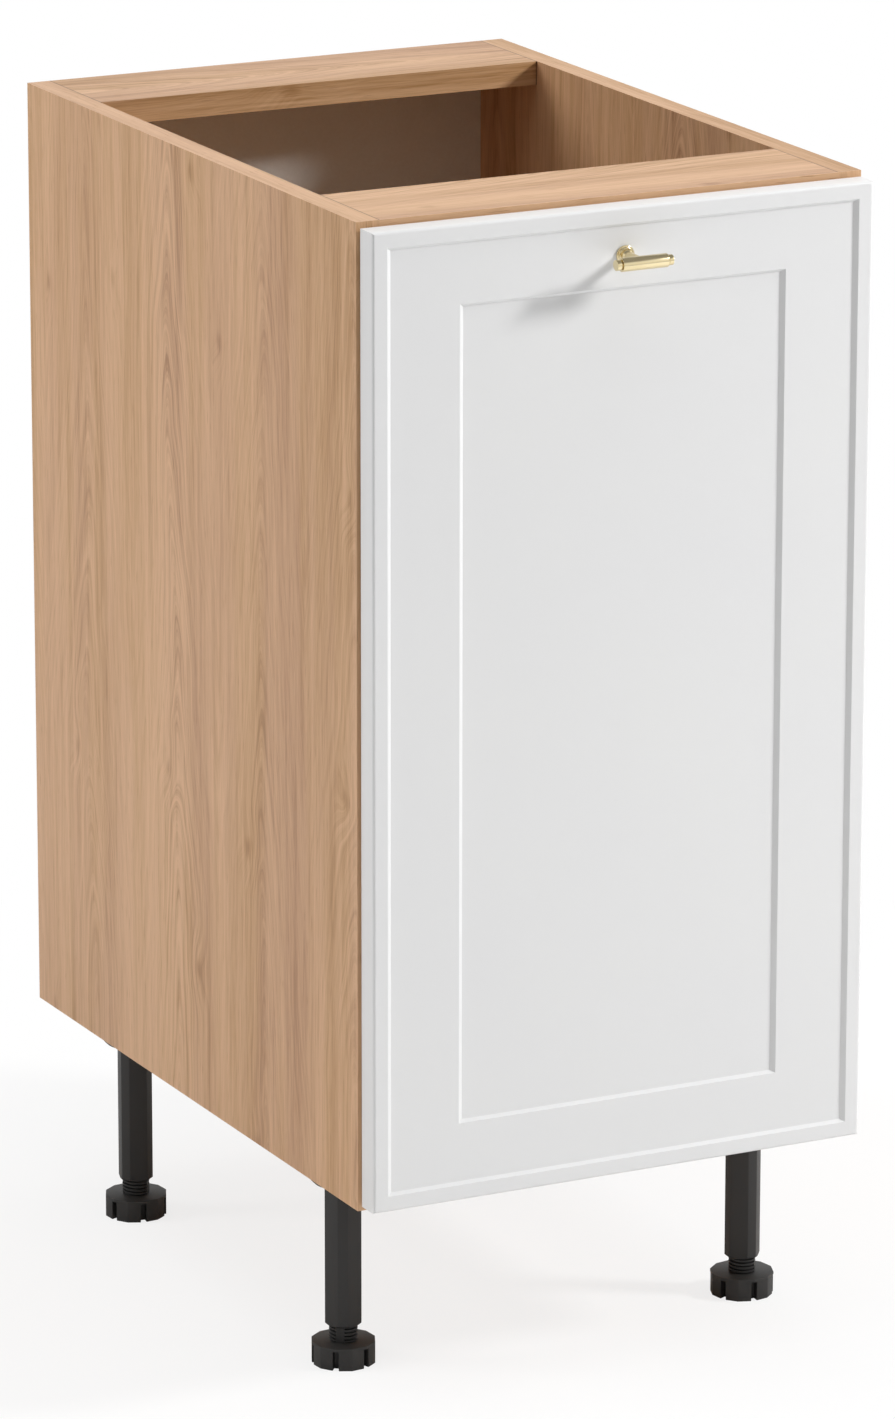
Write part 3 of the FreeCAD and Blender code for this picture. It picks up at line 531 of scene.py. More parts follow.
def milled_front():
    """Nested rectangles: their insets at the sides and at the ends come from two sections."""
    thick = high.y - low.y
    bm = bmesh.new()
    loops = []
    for side, end in zip(section(RIM, STILE, STEP_WIDE, thick), section(RIM, RAIL, STEP_TALL, thick)):
        corners = [(low.x + side.x, low.z + end.x), (high.x - side.x, low.z + end.x),
                   (high.x - side.x, high.z - end.x), (low.x + side.x, high.z - end.x)]
        depth = (side.y + end.y) / 2
        loops.append([bm.verts.new((x, low.y + depth, z)) for x, z in corners])
    for first, second in zip(loops, loops[1:]):
        for i in range(4):
            bm.faces.new((first[i], first[(i + 1) % 4], second[(i + 1) % 4], second[i]))
    bm.faces.new(loops[-1])
    bm.faces.new(list(reversed(loops[0])))
    bmesh.ops.recalc_face_normals(bm, faces=bm.faces)
    return bm


piece_from(milled_front(), "milled_front", white_lacquer, "tilting_front", "door_panel",
           slot="door_lacquer")

# %% [markdown]
# ## The brass handle
#
# A small turned bar on a turned stem, with a stepped rosette under it. Turned things are outlines
# spun round an axis, so one helper spins a list of (distance along the axis, radius). Real turned
# edges are broken with a file, so the outline's corners are rounded first.


# %% A helper: turn an outline on a lathe
ON_AXIS = 1e-7  # a smaller radius is a point on the axis


def turned(profile, start=(0, 0, 0), axis=(0, 0, 1), segments=64):
    """A closed turned solid; profile holds (distance along the axis from start, radius)."""
    bm = bmesh.new()
    axis = Vector(axis)
    side = Vector((axis.z, axis.x, axis.y))
    other = axis.cross(side)
    rings = []
    for along, radius in profile:
        centre = Vector(start) + axis * along
        if radius < ON_AXIS:
            rings.append([bm.verts.new(centre)])
            continue
        turns = [2 * math.pi * i / segments for i in range(segments)]
        rings.append([bm.verts.new(centre + (side * math.cos(t) + other * math.sin(t)) * radius)
                      for t in turns])
    faces = []
    for first, second in zip(rings, rings[1:]):
        for i in range(segments):
            quad = [first[i % len(first)], first[(i + 1) % len(first)],
                    second[(i + 1) % len(second)], second[i % len(second)]]
            corners = list(dict.fromkeys(quad))
            if len(corners) > 2:
                faces.append(bm.faces.new(corners))
    for ring in (rings[0], rings[-1]):
        if len(ring) > 1:
            faces.append(bm.faces.new(ring))
    bmesh.ops.recalc_face_normals(bm, faces=faces)
    return bm


def smooth(piece, angle=40.0):
    """Smooth shading, with an edge kept wherever two faces meet at more than the angle."""
    piece.data.shade_smooth()
    piece.data.set_sharp_from_angle(angle=math.radians(angle))
    return piece


def soft_profile(profile, radius):
    """The outline with every outer corner broken by a small radius."""
    return [(p.x, p.y) for p in rounded(profile, [radius] * len(profile), 3)]


# %% Turn the handle
ROSETTE_STEP, COLLAR_THICK, STEM_RADIUS = 1.3 * MM, 2.0 * MM, 3.2 * MM
BAR_HALF, GROOVE_WIDE, GROOVE_RADIUS, CAP_RADIUS = 18.0 * MM, 0.8 * MM, 2.7 * MM, 3.9 * MM


def handle_part(name, node, profile, start, axis):
    smooth(piece_from(turned(profile, start, axis), name, polished_brass, "tilting_front", node,
                      slot="brass"))


rosette_low, rosette_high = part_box("handle_rosette")
stem_low, stem_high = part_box("handle_stem")
bar_low, bar_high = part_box("handle_bar")
handle_z = (bar_low.z + bar_high.z) / 2
bar_y = (bar_low.y + bar_high.y) / 2

radius, thick = (rosette_high.x - rosette_low.x) / 2, rosette_high.y - rosette_low.y
handle_part("turned_rosette", "handle_rosette", soft_profile(
    [(0, 0), (0, radius), (thick / 2, radius), (thick / 2, radius - ROSETTE_STEP),
     (thick, radius - ROSETTE_STEP), (thick, 0)], 0.3 * MM),
    (0, rosette_high.y, handle_z), (0, -1, 0))

radius, reach = (stem_high.x - stem_low.x) / 2, stem_high.y - bar_y
handle_part("turned_stem", "handle_stem", soft_profile(
    [(0, 0), (0, radius), (COLLAR_THICK, radius), (COLLAR_THICK + MM, STEM_RADIUS), (reach, STEM_RADIUS),
     (reach, 0)], 0.25 * MM),
    (0, stem_high.y, handle_z), (0, -1, 0))

radius, end = (bar_high.z - bar_low.z) / 2, (bar_high.x - bar_low.x) / 2
half = [(-end, 0), (-end, CAP_RADIUS), (-BAR_HALF - GROOVE_WIDE, CAP_RADIUS),
        (-BAR_HALF - GROOVE_WIDE, GROOVE_RADIUS), (-BAR_HALF, GROOVE_RADIUS), (-BAR_HALF, radius)]
handle_part("turned_bar", "handle_bar", soft_profile(
    half + [(-along, r) for along, r in reversed(half)], 0.25 * MM), (0, bar_y, handle_z), (1, 0, 0))

# %% [markdown]
# ## Recipes: Geometry Nodes for what repeats
#
# Screws, nails, wires and threads are all one shape many times over or one section along a path.
# Geometry Nodes are made for that. A `Recipe` builds a tree with named inputs, and `bake` runs it
# once on a starting mesh and keeps the result as a plain mesh. Each tree ends in Realize Instances
# and Set Material, so that the result holds real faces with their finish.


# %% A geometry node tree with named inputs
class Recipe:
    KINDS = {"number": "NodeSocketFloat", "count": "NodeSocketInt", "object": "NodeSocketObject",
             "material": "NodeSocketMaterial", "geometry": "NodeSocketGeometry"}

    def __init__(self, name, **inputs):
        self.tree = bpy.data.node_groups.new(name, "GeometryNodeTree")
        self.sockets = {}
        for label, kind in {"start": "geometry", **inputs, "material": "material"}.items():
            self.sockets[label] = self.tree.interface.new_socket(
                label, in_out="INPUT", socket_type=self.KINDS[kind])
        self.tree.interface.new_socket("result", in_out="OUTPUT", socket_type=self.KINDS["geometry"])
        self.group_input = self.tree.nodes.new("NodeGroupInput")
        self.add = Signal(self.tree).node

    def given(self, label):
        return Signal(self.tree, self.group_input.outputs[label])

    def attribute(self, name, kind):
        return self.add("GeometryNodeInputNamedAttribute", {"data_type": kind}, {"Name": name})

    def ends_in(self, geometry):
        real = self.add("GeometryNodeRealizeInstances", inputs={0: geometry})
        done = self.add("GeometryNodeSetMaterial", inputs={
            "Geometry": real, "Material": self.given("material")})
        self.tree.links.new(done.socket, self.tree.nodes.new("NodeGroupOutput").inputs[0])

    def bake(self, mesh, **values):
        """Runs the tree on a mesh and returns the plain mesh that comes out."""
        carrier = placed("carrier", mesh)
        modifier = carrier.modifiers.new(self.tree.name, "NODES")
        modifier.node_group = self.tree
        for label, value in values.items():
            modifier[self.sockets[label].identifier] = value
        graph = bpy.context.evaluated_depsgraph_get()
        result = bpy.data.meshes.new_from_object(carrier.evaluated_get(graph), depsgraph=graph)
        bpy.data.objects.remove(carrier)
        return result


def points_mesh(name, points, edges=(), **attributes):
    """A mesh of points and edges with a value of each attribute at every point."""
    mesh = bpy.data.meshes.new(name)
    mesh.from_pydata([tuple(p) for p in points], list(edges), [])
    for key, values in attributes.items():
        is_vector = not isinstance(values[0], (int, float))
        kind, field = ("FLOAT_VECTOR", "vector") if is_vector else ("FLOAT", "value")
        made = mesh.attributes.new(key, kind, "POINT")
        flat = [c for v in values for c in v] if is_vector else values
        made.data.foreach_set(field, flat)
    return mesh


def joined(meshes):
    """Several meshes in one bmesh."""
    bm = bmesh.new()
    for mesh in meshes:
        bm.from_mesh(mesh)
    return bm


# %% [markdown]
# ## Screws and nails
#
# Every screw is a countersunk one with a cross cut in its head. The solids already say where each
# one is: its place, its direction and its length are read from them. One master screw is made on
# the lathe, a cross is cut into its head, and the recipe puts a copy on every place, each turned
# to an angle of its own, as screws are.


# %% Read the places of the fasteners
SAME_POINT = 1e-6  # corners closer than this are one
AT_END = 1e-4  # how far from a fastener's end a corner still counts as at it


def separate_solids(node):
    """The points of each closed solid in a CAD node."""
    bm = bmesh.new()
    bm.from_mesh(nodes[node].data)
    bmesh.ops.remove_doubles(bm, verts=bm.verts, dist=SAME_POINT)
    waiting, groups = set(bm.verts), []
    while waiting:
        stack, group = [waiting.pop()], []
        while stack:
            vertex = stack.pop()
            group.append(vertex.co.copy())
            for edge in vertex.link_edges:
                other = edge.other_vert(vertex)
                if other in waiting:
                    waiting.remove(other)
                    stack.append(other)
        groups.append(group)
    bm.free()
    return groups


def fastener_places(node):
    """(place of the head, direction of the tip, length) of each fastener, always in one order."""
    found = []
    for points in separate_solids(node):
        low = Vector([min(p[i] for p in points) for i in range(3)])
        high = Vector([max(p[i] for p in points) for i in range(3)])
        axis = max(range(3), key=lambda i: high[i] - low[i])
        centre = (low + high) / 2
        widths = [max((p - centre).length_squared - (p - centre)[axis] ** 2
                      for p in points if abs(p[axis] - end) < AT_END) for end in (low[axis], high[axis])]
        aim = Vector((0, 0, 0))
        aim[axis] = 1.0 if widths[0] > widths[1] else -1.0
        head = centre.copy()
        head[axis] = low[axis] if widths[0] > widths[1] else high[axis]
        found.append((head, aim, high[axis] - low[axis]))
    return sorted(found, key=lambda place: [round(c, 4) for c in place[0]])


# %% A helper: cut one shape out of another
def cut_away(piece, cutter_bm):
    """Takes the cutter's shapes out of a piece."""
    cutter = placed("cutter", mesh_from(cutter_bm, "cutter"))
    cut = piece.modifiers.new("cut", "BOOLEAN")
    cut.operation, cut.object, cut.solver, cut.use_self = "DIFFERENCE", cutter, "EXACT", True
    graph = bpy.context.evaluated_depsgraph_get()
    piece.data = bpy.data.meshes.new_from_object(piece.evaluated_get(graph), depsgraph=graph)
    piece.modifiers.clear()
    bpy.data.objects.remove(cutter)


# %% The master screw
CROSS_LONG, CROSS_WIDE, CROSS_DEEP, CROSS_ABOVE = 1.9 * MM, 0.35 * MM, 1.5 * MM, 0.3 * MM
CROSS_TAPER = 0.5  # the bottom of the cross, as a share of its top


def master_screw(length, head=3.0 * MM, shank=1.6 * MM):
    """A countersunk screw along +Z with a cross cut in its head, which lies at the origin."""
    cone = head - shank
    profile = [(0, 0), (0, head * 0.96), (0.12 * MM, head), (cone, shank), (length - shank, shank),
               (length, 0)]
    screw = placed("master_screw", mesh_from(turned(profile, segments=24), "master_screw"))
    cutter = bmesh.new()
    for wide, tall in ((CROSS_LONG, CROSS_WIDE), (CROSS_WIDE, CROSS_LONG)):
        top = [(x * wide, y * tall, -CROSS_ABOVE) for x, y in ((-1, -1), (1, -1), (1, 1), (-1, 1))]
        bottom = [(x * CROSS_TAPER, y * CROSS_TAPER, CROSS_DEEP) for x, y, z in top]
        corners = [cutter.verts.new(c) for c in top + bottom]
        cutter.faces.new(corners[:4])
        cutter.faces.new(corners[4:])
        for i, j in ((0, 1), (1, 2), (2, 3), (3, 0)):
            cutter.faces.new((corners[i], corners[j], corners[4 + j], corners[4 + i]))
    bmesh.ops.recalc_face_normals(cutter, faces=cutter.faces)
    cut_away(screw, cutter)
    return screw


# %% The recipe that repeats it
def repeat_recipe():
    recipe = Recipe("repeat_fastener", fastener="object", seed="count")
    aim = recipe.attribute("aim", "FLOAT_VECTOR")
    upright = recipe.add("FunctionNodeAlignRotationToVector", {"axis": "Z"}, {"Vector": aim})
    spin = recipe.add("FunctionNodeRandomValue", {"data_type": "FLOAT"},
                      {2: 0.0, 3: 6.28, "Seed": recipe.given("seed")}, 1)
    turn_by = recipe.add("FunctionNodeAxisAngleToRotation", inputs={"Axis": (0, 0, 1), "Angle": spin})
    rotation = recipe.add("FunctionNodeRotateRotation", {"rotation_space": "LOCAL"},
                          {0: upright, 1: turn_by})
    shape = recipe.add("GeometryNodeObjectInfo", inputs={"Object": recipe.given("fastener")},
                       output="Geometry")
    copies = recipe.add("GeometryNodeInstanceOnPoints", inputs={
        "Points": recipe.given("start"), "Instance": shape, "Rotation": rotation})
    recipe.ends_in(copies)
    return recipe


repeat_fastener = repeat_recipe()


def fasten(name, body, master, *replaced):
    """Puts the master on every place that the replaced nodes hold."""
    meshes = []
    for seed, node in enumerate(replaced):
        heads, aims, lengths = zip(*fastener_places(node))
        model = master(lengths[0])
        start = points_mesh("places", heads, aim=aims)
        meshes.append(repeat_fastener.bake(start, fastener=model, seed=seed, material=zinc_plate))
        bpy.data.objects.remove(model)
        print(f"{node}: {len(heads)} copies")
    smooth(piece_from(joined(meshes), name, zinc_plate, body, *replaced, slot="zinc_steel"), 30)


fasten("cabinet_screws", "cabinet", master_screw, "leg_plate_screws", "hinge_cabinet_screws",
       "stay_guide_screws", "catch_screws")
fasten("front_screws", "tilting_front", master_screw, "hinge_door_screws", "stay_screws",
       "basket_hook_screws", "strike_plate_screw")


# %% Nails with flat, slightly domed heads
def master_nail(length, head=2.5 * MM, shank=0.8 * MM):
    thick = 0.6 * MM
    profile = [(0, 0), (0, head * 0.6), (thick * 0.3, head * 0.95), (thick * 0.6, head), (thick, head),
               (thick, shank), (length - shank, shank), (length, 0)]
    return placed("master_nail", mesh_from(turned(profile, segments=16), "master_nail"))


fasten("back_nails", "cabinet", master_nail, "back_panel_nails")

# %% [markdown]
# ## Small moulded and stamped pieces
#
# The legs, guides, hooks and stays already have their shape, but no real edge is quite sharp.
# Each piece here is a copy of its solid, with joined corners and whole flat faces, on which every
# edge is broken by a narrow bevel. The light then catches the edges as it does on the real parts.


# %% Copies with broken edges
def merged_copy(node):
    """A bmesh copy of a CAD solid with its corners joined and its flat faces whole."""
    bm = bmesh.new()
    bm.from_mesh(nodes[node].data)
    bmesh.ops.remove_doubles(bm, verts=bm.verts, dist=SAME_POINT)
    bmesh.ops.dissolve_limit(bm, angle_limit=math.radians(0.5), verts=bm.verts, edges=bm.edges)
    return bm


def break_edges(bm, width, angle=35.0):
    """Bevels the edges where two faces meet at more than the angle."""
    edges = [e for e in bm.edges if e.is_manifold and e.calc_face_angle() > math.radians(angle)]
    bmesh.ops.bevel(bm, geom=edges, offset=width, segments=2, profile=0.5, affect="EDGES",
                    clamp_overlap=True)
    return bm


def softened(name, material, body, width, slot, *solids):
    """One piece of all the solids, each with its edges broken."""
    meshes = [mesh_from(break_edges(merged_copy(node), width), "softened") for node in solids]
    smooth(piece_from(joined(meshes), name, material, body, *solids, slot=slot), 35)


# %% Guides, catch, legs, hooks and stays
softened("moulded_guides", white_plastic, "cabinet", 0.5 * MM, "white_plastic",
         "left_stay_guide", "right_stay_guide")
softened("moulded_catch", white_plastic, "cabinet", 0.4 * MM, "white_plastic", "catch_body")
softened("moulded_leg_plates", charcoal_plastic, "cabinet", 0.6 * MM, "black_plastic",
         *[f"leg_plate_{place}" for place in places])
softened("leg_tubes", charcoal_plastic, "cabinet", 0.4 * MM, "black_plastic",
         *[f"leg_tube_{place}" for place in places])
softened("bent_hooks", zinc_plate, "tilting_front", 0.4 * MM, "zinc_steel",
         "upper_left_basket_hook", "upper_right_basket_hook",
         "lower_left_basket_hook", "lower_right_basket_hook")
softened("stamped_stays", zinc_plate, "tilting_front", 0.3 * MM, "zinc_steel",
         "left_quadrant_stay", "right_quadrant_stay")


# %% [markdown]
# ## The wire basket
#
# A welded basket is nothing but straight wires of a few thicknesses. So the starting mesh holds
# one chain of points for each wire, with the wire's radius at each point, and the recipe sweeps a
# circle along every chain. The radius is a little less at the two ends, which gives the rounded
# tips that the epoxy coat leaves.


# %% Coat of the wires
def epoxy():
    finish = Finish("epoxy_coat")
    runs = finish.noise(150.0, 3.0, 0.55, seed=2.0)
    dust = finish.noise(1400.0, 2.0, 0.6, seed=4.0)
    tone = runs * 0.7 + dust * 0.3
    finish.feed("Base Color", tone.mix(colour(214, 215, 214), colour(226, 227, 226)))
    finish.feed("Roughness", 0.3 + (runs - 0.5) * 0.15 + (dust - 0.5) * 0.06)
    finish.bump(runs, 0.00008, 0.6)
    return finish.material


# %% A recipe: round wires along chains of points
def wire_recipe():
    recipe = Recipe("round_wires", sides="count")
    chains = recipe.add("GeometryNodeMeshToCurve", inputs={"Mesh": recipe.given("start")})
    ring = recipe.add("GeometryNodeCurvePrimitiveCircle", {"mode": "RADIUS"},
                      {"Resolution": recipe.given("sides"), "Radius": 1.0})
    recipe.ends_in(recipe.add("GeometryNodeCurveToMesh", inputs={
        "Curve": chains, "Profile Curve": ring, "Scale": recipe.attribute("wire_radius", "FLOAT"),
        "Fill Caps": True}))
    return recipe


class Wires:
    """Collects wires as chains of points with a radius at each point."""

    def __init__(self):
        self.points, self.edges, self.radii = [], [], []

    def add(self, start, end, radius):
        start, end = Vector(start), Vector(end)
        tip = (end - start).normalized() * radius * 0.35
        first = len(self.points)
        self.points += [start, start + tip, end - tip, end]
        self.radii += [radius * 0.7, radius, radius, radius * 0.7]
        self.edges += [(first + i, first + i + 1) for i in range(3)]


# %% Weld the basket
WIRE_BAND, WIRE_RIM, WIRE_POST, WIRE_MESH = 2.5 * MM, 3.0 * MM, 2.2 * MM, 1.5 * MM
MESH_PITCH, BANDS, BITE = 24.0 * MM, 4, 0.3 * MM


def wire_steps(span, pitch=MESH_PITCH):
    """Places between two posts, centred, about one pitch apart."""
    count = max(2, round(span / pitch))
    return [-span / 2 + span * i / count for i in range(1, count)]


def weld_basket():
    low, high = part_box("basket_front_wall")
    back_low, back_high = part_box("basket_back_wall")
    right_low, right_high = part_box("basket_right_wall")
    front_y, back_y = (low.y + high.y) / 2, (back_low.y + back_high.y) / 2
    side_x = (right_low.x + right_high.x) / 2
    bottom, top, overhang = low.z + WIRE_BAND, high.z - WIRE_RIM, high.x - side_x
    middle = (front_y + back_y) / 2
    levels = [(bottom + (top - bottom) * i / BANDS, WIRE_BAND) for i in range(BANDS)] + [(top, WIRE_RIM)]
    wires = Wires()
    for z, radius in levels:
        for y in (front_y, back_y):
            wires.add((-side_x - overhang, y, z), (side_x + overhang, y, z), radius)
        for x in (-side_x, side_x):
            wires.add((x, front_y + radius - BITE, z), (x, back_y - radius + BITE, z), radius)
    for y in (front_y, back_y):
        for x in (-side_x, side_x):
            wires.add((x, y, bottom), (x, y, top), WIRE_POST)
        for x in wire_steps(2 * side_x):
            wires.add((x, y, bottom), (x, y, top), WIRE_MESH)
    for step in wire_steps(back_y - front_y):
        for x in (-side_x, side_x):
            wires.add((x, middle + step, bottom), (x, middle + step, top), WIRE_MESH)
    inset = WIRE_BAND - BITE
    for x in wire_steps(2 * side_x):
        wires.add((x, front_y + inset, bottom), (x, back_y - inset, bottom), WIRE_MESH)
    for step in wire_steps(back_y - front_y, 3 * MESH_PITCH):
        reach = side_x - inset
        wires.add((-reach, middle + step, bottom), (reach, middle + step, bottom), WIRE_POST)
    return wires


wires = weld_basket()
coat = epoxy()
swept = wire_recipe().bake(points_mesh("chains", wires.points, wires.edges, wire_radius=wires.radii),
                           sides=12, material=coat)
smooth(piece_from(joined([swept]), "wire_basket", coat, "basket", "basket_front_wall",
                  "basket_back_wall", "basket_left_wall", "basket_right_wall", "basket_base",
                  slot="basket_wire"), 50)
print(f"{len(wires.edges) // 3} wires in the basket")

# %% [markdown]
# ## Feet with their threaded spindles
#
# Each foot is one moulding: a twelve-sided disc with six notches for a key, and a spindle with a
# coarse thread. The disc is turned with twelve sides and notched. The thread is a section that
# follows a spiral, which Geometry Nodes make exactly. It has two flats, so that the mould can
# open: the recipe pushes the thread in there, and a bar through the rod fills its grooves to a
# plain strip. The same moulding then stands under each leg, turned as it happened to be screwed in.

# %% Sizes of the foot
FOOT_SIDES, NOTCHES = 12, 6
NOTCH_WIDE, NOTCH_DEEP, NOTCH_ROOF = 4.4 * MM, 6.0 * MM, 2.4 * MM
FOOT_RADIUS, FOOT_HIGH, SPINDLE_RADIUS = 24.0 * MM, 17.0 * MM, 10.5 * MM
THREAD_PITCH, THREAD_DEEP, THREAD_CREST, THREAD_FLANK = 2.8 * MM, 1.9 * MM, 1.2 * MM, 0.3 * MM
THREAD_BITE = 0.3 * MM  # how far the thread's foot reaches into the rod
SPINDLE_FLAT, STRIP_WIDE, STRIP_LOWER = 9.7 * MM, 6.4 * MM, 0.1 * MM
SECTION_TURN = math.radians(90.0)  # points the thread's crest away from the axis
FOOT_TURN = {"front_left": 50.0, "front_right": 145.0, "rear_left": 140.0, "rear_right": 5.0}

spindle_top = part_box("leg_foot_front_left")[1].z
spindle_long = spindle_top - FOOT_HIGH
root_radius = SPINDLE_RADIUS - THREAD_DEEP
print(f"the spindle reaches {spindle_top * 1000:.0f} mm above the floor")


# %% The disc with its notches
def notched_disc():
    bm = turned([(0, 0), (0, FOOT_RADIUS), (FOOT_HIGH, FOOT_RADIUS), (FOOT_HIGH, 0)],
                segments=FOOT_SIDES)
    bmesh.ops.dissolve_limit(bm, angle_limit=0.01, verts=bm.verts, edges=bm.edges)
    disc = placed("disc", mesh_from(bm, "disc"))
    cutter = bmesh.new()
    for i in range(NOTCHES):
        turn = Matrix.Rotation(2 * math.pi * i / NOTCHES, 4, "Z")
        size = Matrix.Diagonal((2 * NOTCH_DEEP, NOTCH_WIDE, 2 * (FOOT_HIGH - NOTCH_ROOF), 1))
        bmesh.ops.create_cube(cutter, matrix=turn @ Matrix.Translation((FOOT_RADIUS, 0, 0)) @ size)
    cut_away(disc, cutter)
    bm = bmesh.new()
    bm.from_mesh(disc.data)
    bmesh.ops.remove_doubles(bm, verts=bm.verts, dist=SAME_POINT)
    bmesh.ops.dissolve_limit(bm, angle_limit=0.01, verts=bm.verts, edges=bm.edges)
    break_edges(bm, 0.5 * MM, 20.0)
    bpy.data.objects.remove(disc)
    return mesh_from(bm, "notched_disc")


# %% The thread: a section that follows a spiral, pushed in at two flats
def thread_recipe():
    recipe = Recipe("thread", radius="number", pitch="number", turns="number", depth="number",
                    crest="number", root="number", flat="number", steps="count")
    height = recipe.given("pitch") * recipe.given("turns")
    spiral = recipe.add("GeometryNodeCurveSpiral", inputs={
        "Resolution": recipe.given("steps"), "Rotations": recipe.given("turns"), "Height": height,
        "Start Radius": recipe.given("radius"), "End Radius": recipe.given("radius")})
    level = recipe.add("GeometryNodeSetCurveNormal", {"mode": "Z_UP"}, {"Curve": spiral})
    section = recipe.add("GeometryNodeCurvePrimitiveQuadrilateral", {"mode": "TRAPEZOID"}, {
        "Bottom Width": recipe.given("root"), "Top Width": recipe.given("crest"), "Offset": 0.0,
        "Height": recipe.given("depth")})
    outward = recipe.add("GeometryNodeTransform", inputs={
        "Geometry": section, "Rotation": (0, 0, SECTION_TURN)})
    swept = recipe.add("GeometryNodeCurveToMesh", inputs={
        "Curve": level, "Profile Curve": outward, "Fill Caps": True})
    x, y, z = recipe.add("GeometryNodeInputPosition").parts()
    flat = recipe.given("flat")
    clamped = x.maths("MINIMUM", x.maths("MAXIMUM", x, flat * -1.0), flat)
    pushed = recipe.add("ShaderNodeCombineXYZ", inputs={0: clamped, 1: y, 2: z})
    recipe.ends_in(recipe.add("GeometryNodeSetPosition", inputs={"Geometry": swept, "Position": pushed}))
    return recipe


thread_turns = int(spindle_long / THREAD_PITCH) - 1.0
thread = thread_recipe().bake(
    bpy.data.meshes.new("empty"), radius=root_radius + (THREAD_DEEP - THREAD_BITE) / 2,
    pitch=THREAD_PITCH, turns=thread_turns, depth=THREAD_DEEP + THREAD_BITE, crest=THREAD_CREST,
    root=THREAD_CREST + 2 * THREAD_FLANK, flat=SPINDLE_FLAT, steps=48, material=charcoal_plastic)
print(f"{thread_turns:.0f} turns of thread, {len(thread.polygons)} faces")


# %% Put disc, spindle and thread together under each leg
def spindle_core():
    """A plain rod with the thread's root radius, cut to the same two flats."""
    bm = turned([(0, 0), (0, root_radius), (spindle_long + NOTCH_ROOF - MM, root_radius),
                 (spindle_long + NOTCH_ROOF, root_radius - MM), (spindle_long + NOTCH_ROOF, 0)],
                start=(0, 0, FOOT_HIGH - NOTCH_ROOF), segments=96)
    for vertex in bm.verts:
        vertex.co.x = max(-SPINDLE_FLAT, min(SPINDLE_FLAT, vertex.co.x))
    return mesh_from(bm, "core")


def flat_strips():
    """A bar through the rod: its narrow faces are the plain strips along the two flats."""
    bm = bmesh.new()
    size = Matrix.Diagonal((2 * (SPINDLE_FLAT - STRIP_LOWER), STRIP_WIDE, spindle_long - MM, 1))
    middle = Matrix.Translation((0, 0, FOOT_HIGH + spindle_long / 2 - MM))
    bmesh.ops.create_cube(bm, matrix=middle @ size)
    return mesh_from(bm, "strips")


thread.transform(Matrix.Translation((0, 0, FOOT_HIGH)))
foot_parts = [notched_disc(), spindle_core(), flat_strips(), thread]
for place in places:
    low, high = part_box(f"leg_tube_{place}")
    stand = Matrix.Translation(((low.x + high.x) / 2, (low.y + high.y) / 2, 0))
    bm = joined(foot_parts)
    bm.transform(stand @ Matrix.Rotation(math.radians(FOOT_TURN[place]), 4, "Z"))
    smooth(piece_from(bm, f"moulded_foot_{place}", charcoal_plastic, f"foot_{place}",
                      f"leg_foot_{place}", slot="black_plastic"), 25)

# %% [markdown]
# ## Light, floor and background
#
# The studio has a soft key lamp far to the right and not very high, which draws the handle's long
# shadow across the front and makes the upper steps dark and the lower ones bright. A weaker lamp
# at the left rear lights the side, and shines over it on the inside of the right one. The world
# does the rest: it is strongest straight above, like a ceiling of white cloth, so the top edges
# are the brightest oak. The background is white because the world is white for the rays that the
# camera sees. What metal reflects is darker high up, as above every studio set.


# %% Room light
def room(low_light, high_light, crown_light, ceiling):
    world = bpy.data.worlds.new("studio")
    bpy.context.scene.world = world
    world.use_nodes = True
    world.node_tree.nodes.clear()
    start = Signal(world.node_tree)
    seen = start.node("ShaderNodeLightPath").socket.node.outputs
    camera_ray, gloss, glass = (Signal(world.node_tree, seen[name]) for name in (
        "Is Camera Ray", "Is Glossy Ray", "Is Transmission Ray"))
    shown = camera_ray.maths("MAXIMUM", camera_ray.maths("MAXIMUM", camera_ray, gloss), glass)
    height = start.node("ShaderNodeTexCoord", output="Generated").parts()[2]
    above = height.between(0.35, 0.75).mix((1, 1, 1, 1), (ceiling, ceiling, ceiling, 1))
    strength = low_light + (high_light - low_light) * height.between(0.2, 0.9)
    strength = strength + crown_light * height.between(0.75, 0.95)
    soft = start.node("ShaderNodeBackground", inputs={"Color": (1, 1, 1, 1), "Strength": strength})
    white = start.node("ShaderNodeBackground", inputs={"Color": above, "Strength": 1.0})
    sky = start.node("ShaderNodeMixShader", inputs={0: shown, 1: soft, 2: white})
    world.node_tree.links.new(sky.socket, world.node_tree.nodes.new("ShaderNodeOutputWorld").inputs[0])


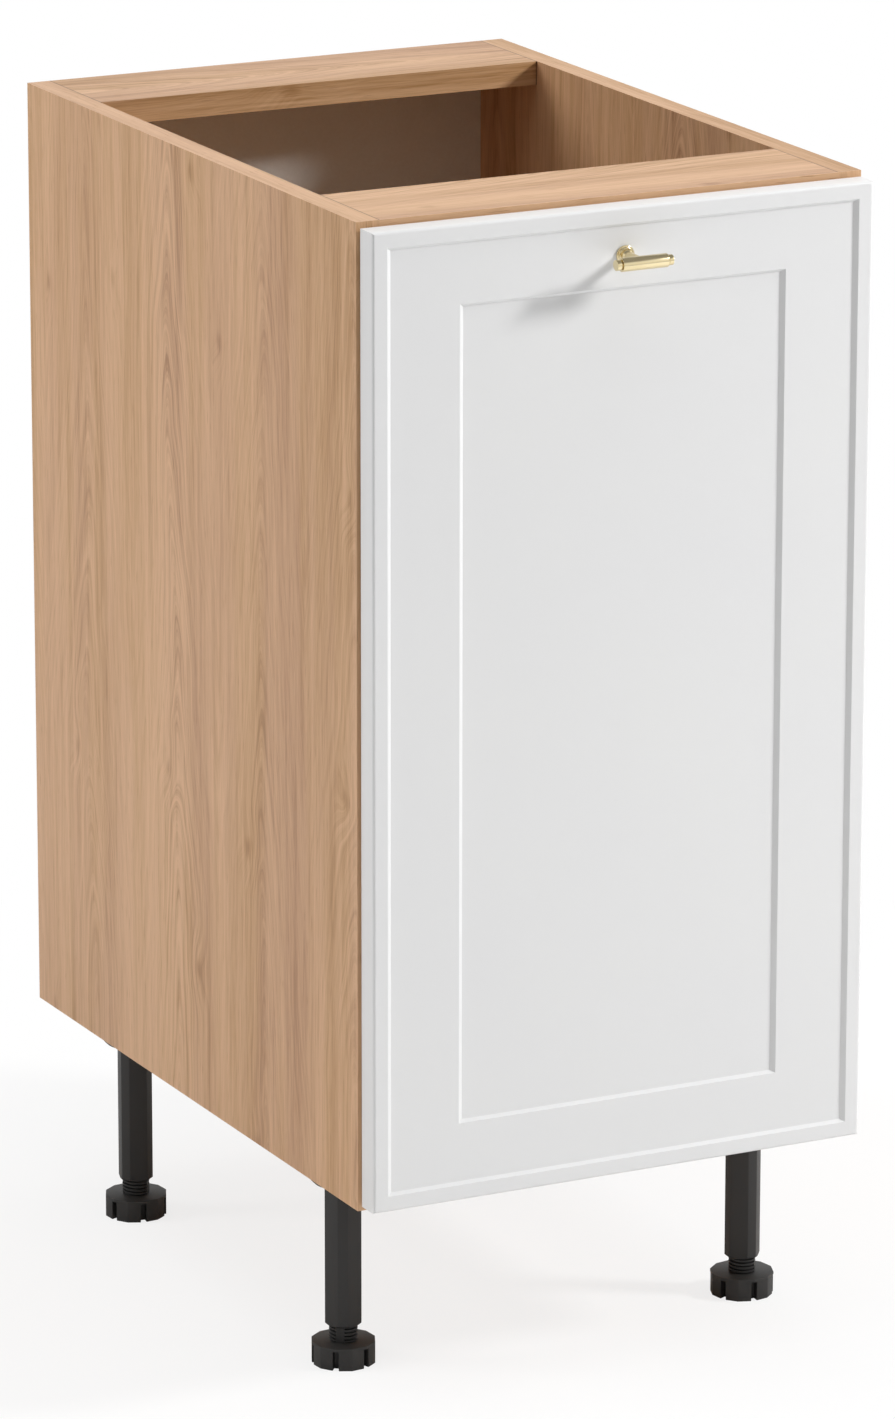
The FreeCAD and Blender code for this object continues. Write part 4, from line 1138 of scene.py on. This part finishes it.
LOW_LIGHT, HIGH_LIGHT, CROWN_LIGHT, CEILING = 0.03, 0.23, 1.9, 0.3
room(LOW_LIGHT, HIGH_LIGHT, CROWN_LIGHT, CEILING)
bpy.context.scene.view_settings.view_transform = "Standard"


# %% Lamps
def softbox(name, place, aim, size, watts):
    light = bpy.data.lights.new(name, "AREA")
    light.shape, light.size, light.energy = "DISK", size, watts
    made = placed(name, light)
    made.location = place
    made.rotation_mode = "QUATERNION"
    made.rotation_quaternion = (Vector(aim) - Vector(place)).to_track_quat("-Z", "Y")
    print(f"{name}: {watts} W at {tuple(place)}")


softbox("key", place=(2.63, -1.78, 2.35), aim=(0, -0.2, 0.5), size=0.66, watts=98)
softbox("fill", place=(-2.7, 1.15, 1.75), aim=(0, 0, 0.5), size=1.1, watts=31)


# %% The floor
FLOOR_RADIUS, FADE_FROM, FADE_FULL = 9.0, 0.42, 1.0  # metres from the middle
PAPER_GLOW = 0.8  # how much of the floor that the camera sees is plain white near the cabinet


def paper_floor():
    """Pale paper that keeps the soft shadows near the cabinet and fades to white further out."""
    bm = bmesh.new()
    bmesh.ops.create_circle(bm, cap_ends=True, segments=128, radius=FLOOR_RADIUS)
    floor = placed("floor", mesh_from(bm, "floor"))
    paper = Finish("floor_paper", Roughness=0.9, Specular_IOR_Level=0.0,
                   Base_Color=(0.88, 0.88, 0.88, 1.0))
    seen = paper.start.node("ShaderNodeLightPath", output="Is Camera Ray")
    away = paper.start.node("ShaderNodeVectorMath", {"operation": "LENGTH"}, {0: paper.place}, "Value")
    glow = paper.start.node("ShaderNodeEmission", inputs={"Color": (1, 1, 1, 1), "Strength": 1.0})
    lift = seen * (PAPER_GLOW + (1 - PAPER_GLOW) * away.between(FADE_FROM, FADE_FULL))
    both = paper.start.node("ShaderNodeMixShader", inputs={
        0: lift, 1: Signal(paper.tree, paper.shader.outputs[0]), 2: glow})
    paper.tree.links.new(both.socket, paper.output.inputs["Surface"])
    floor.data.materials.append(paper.material)


paper_floor()
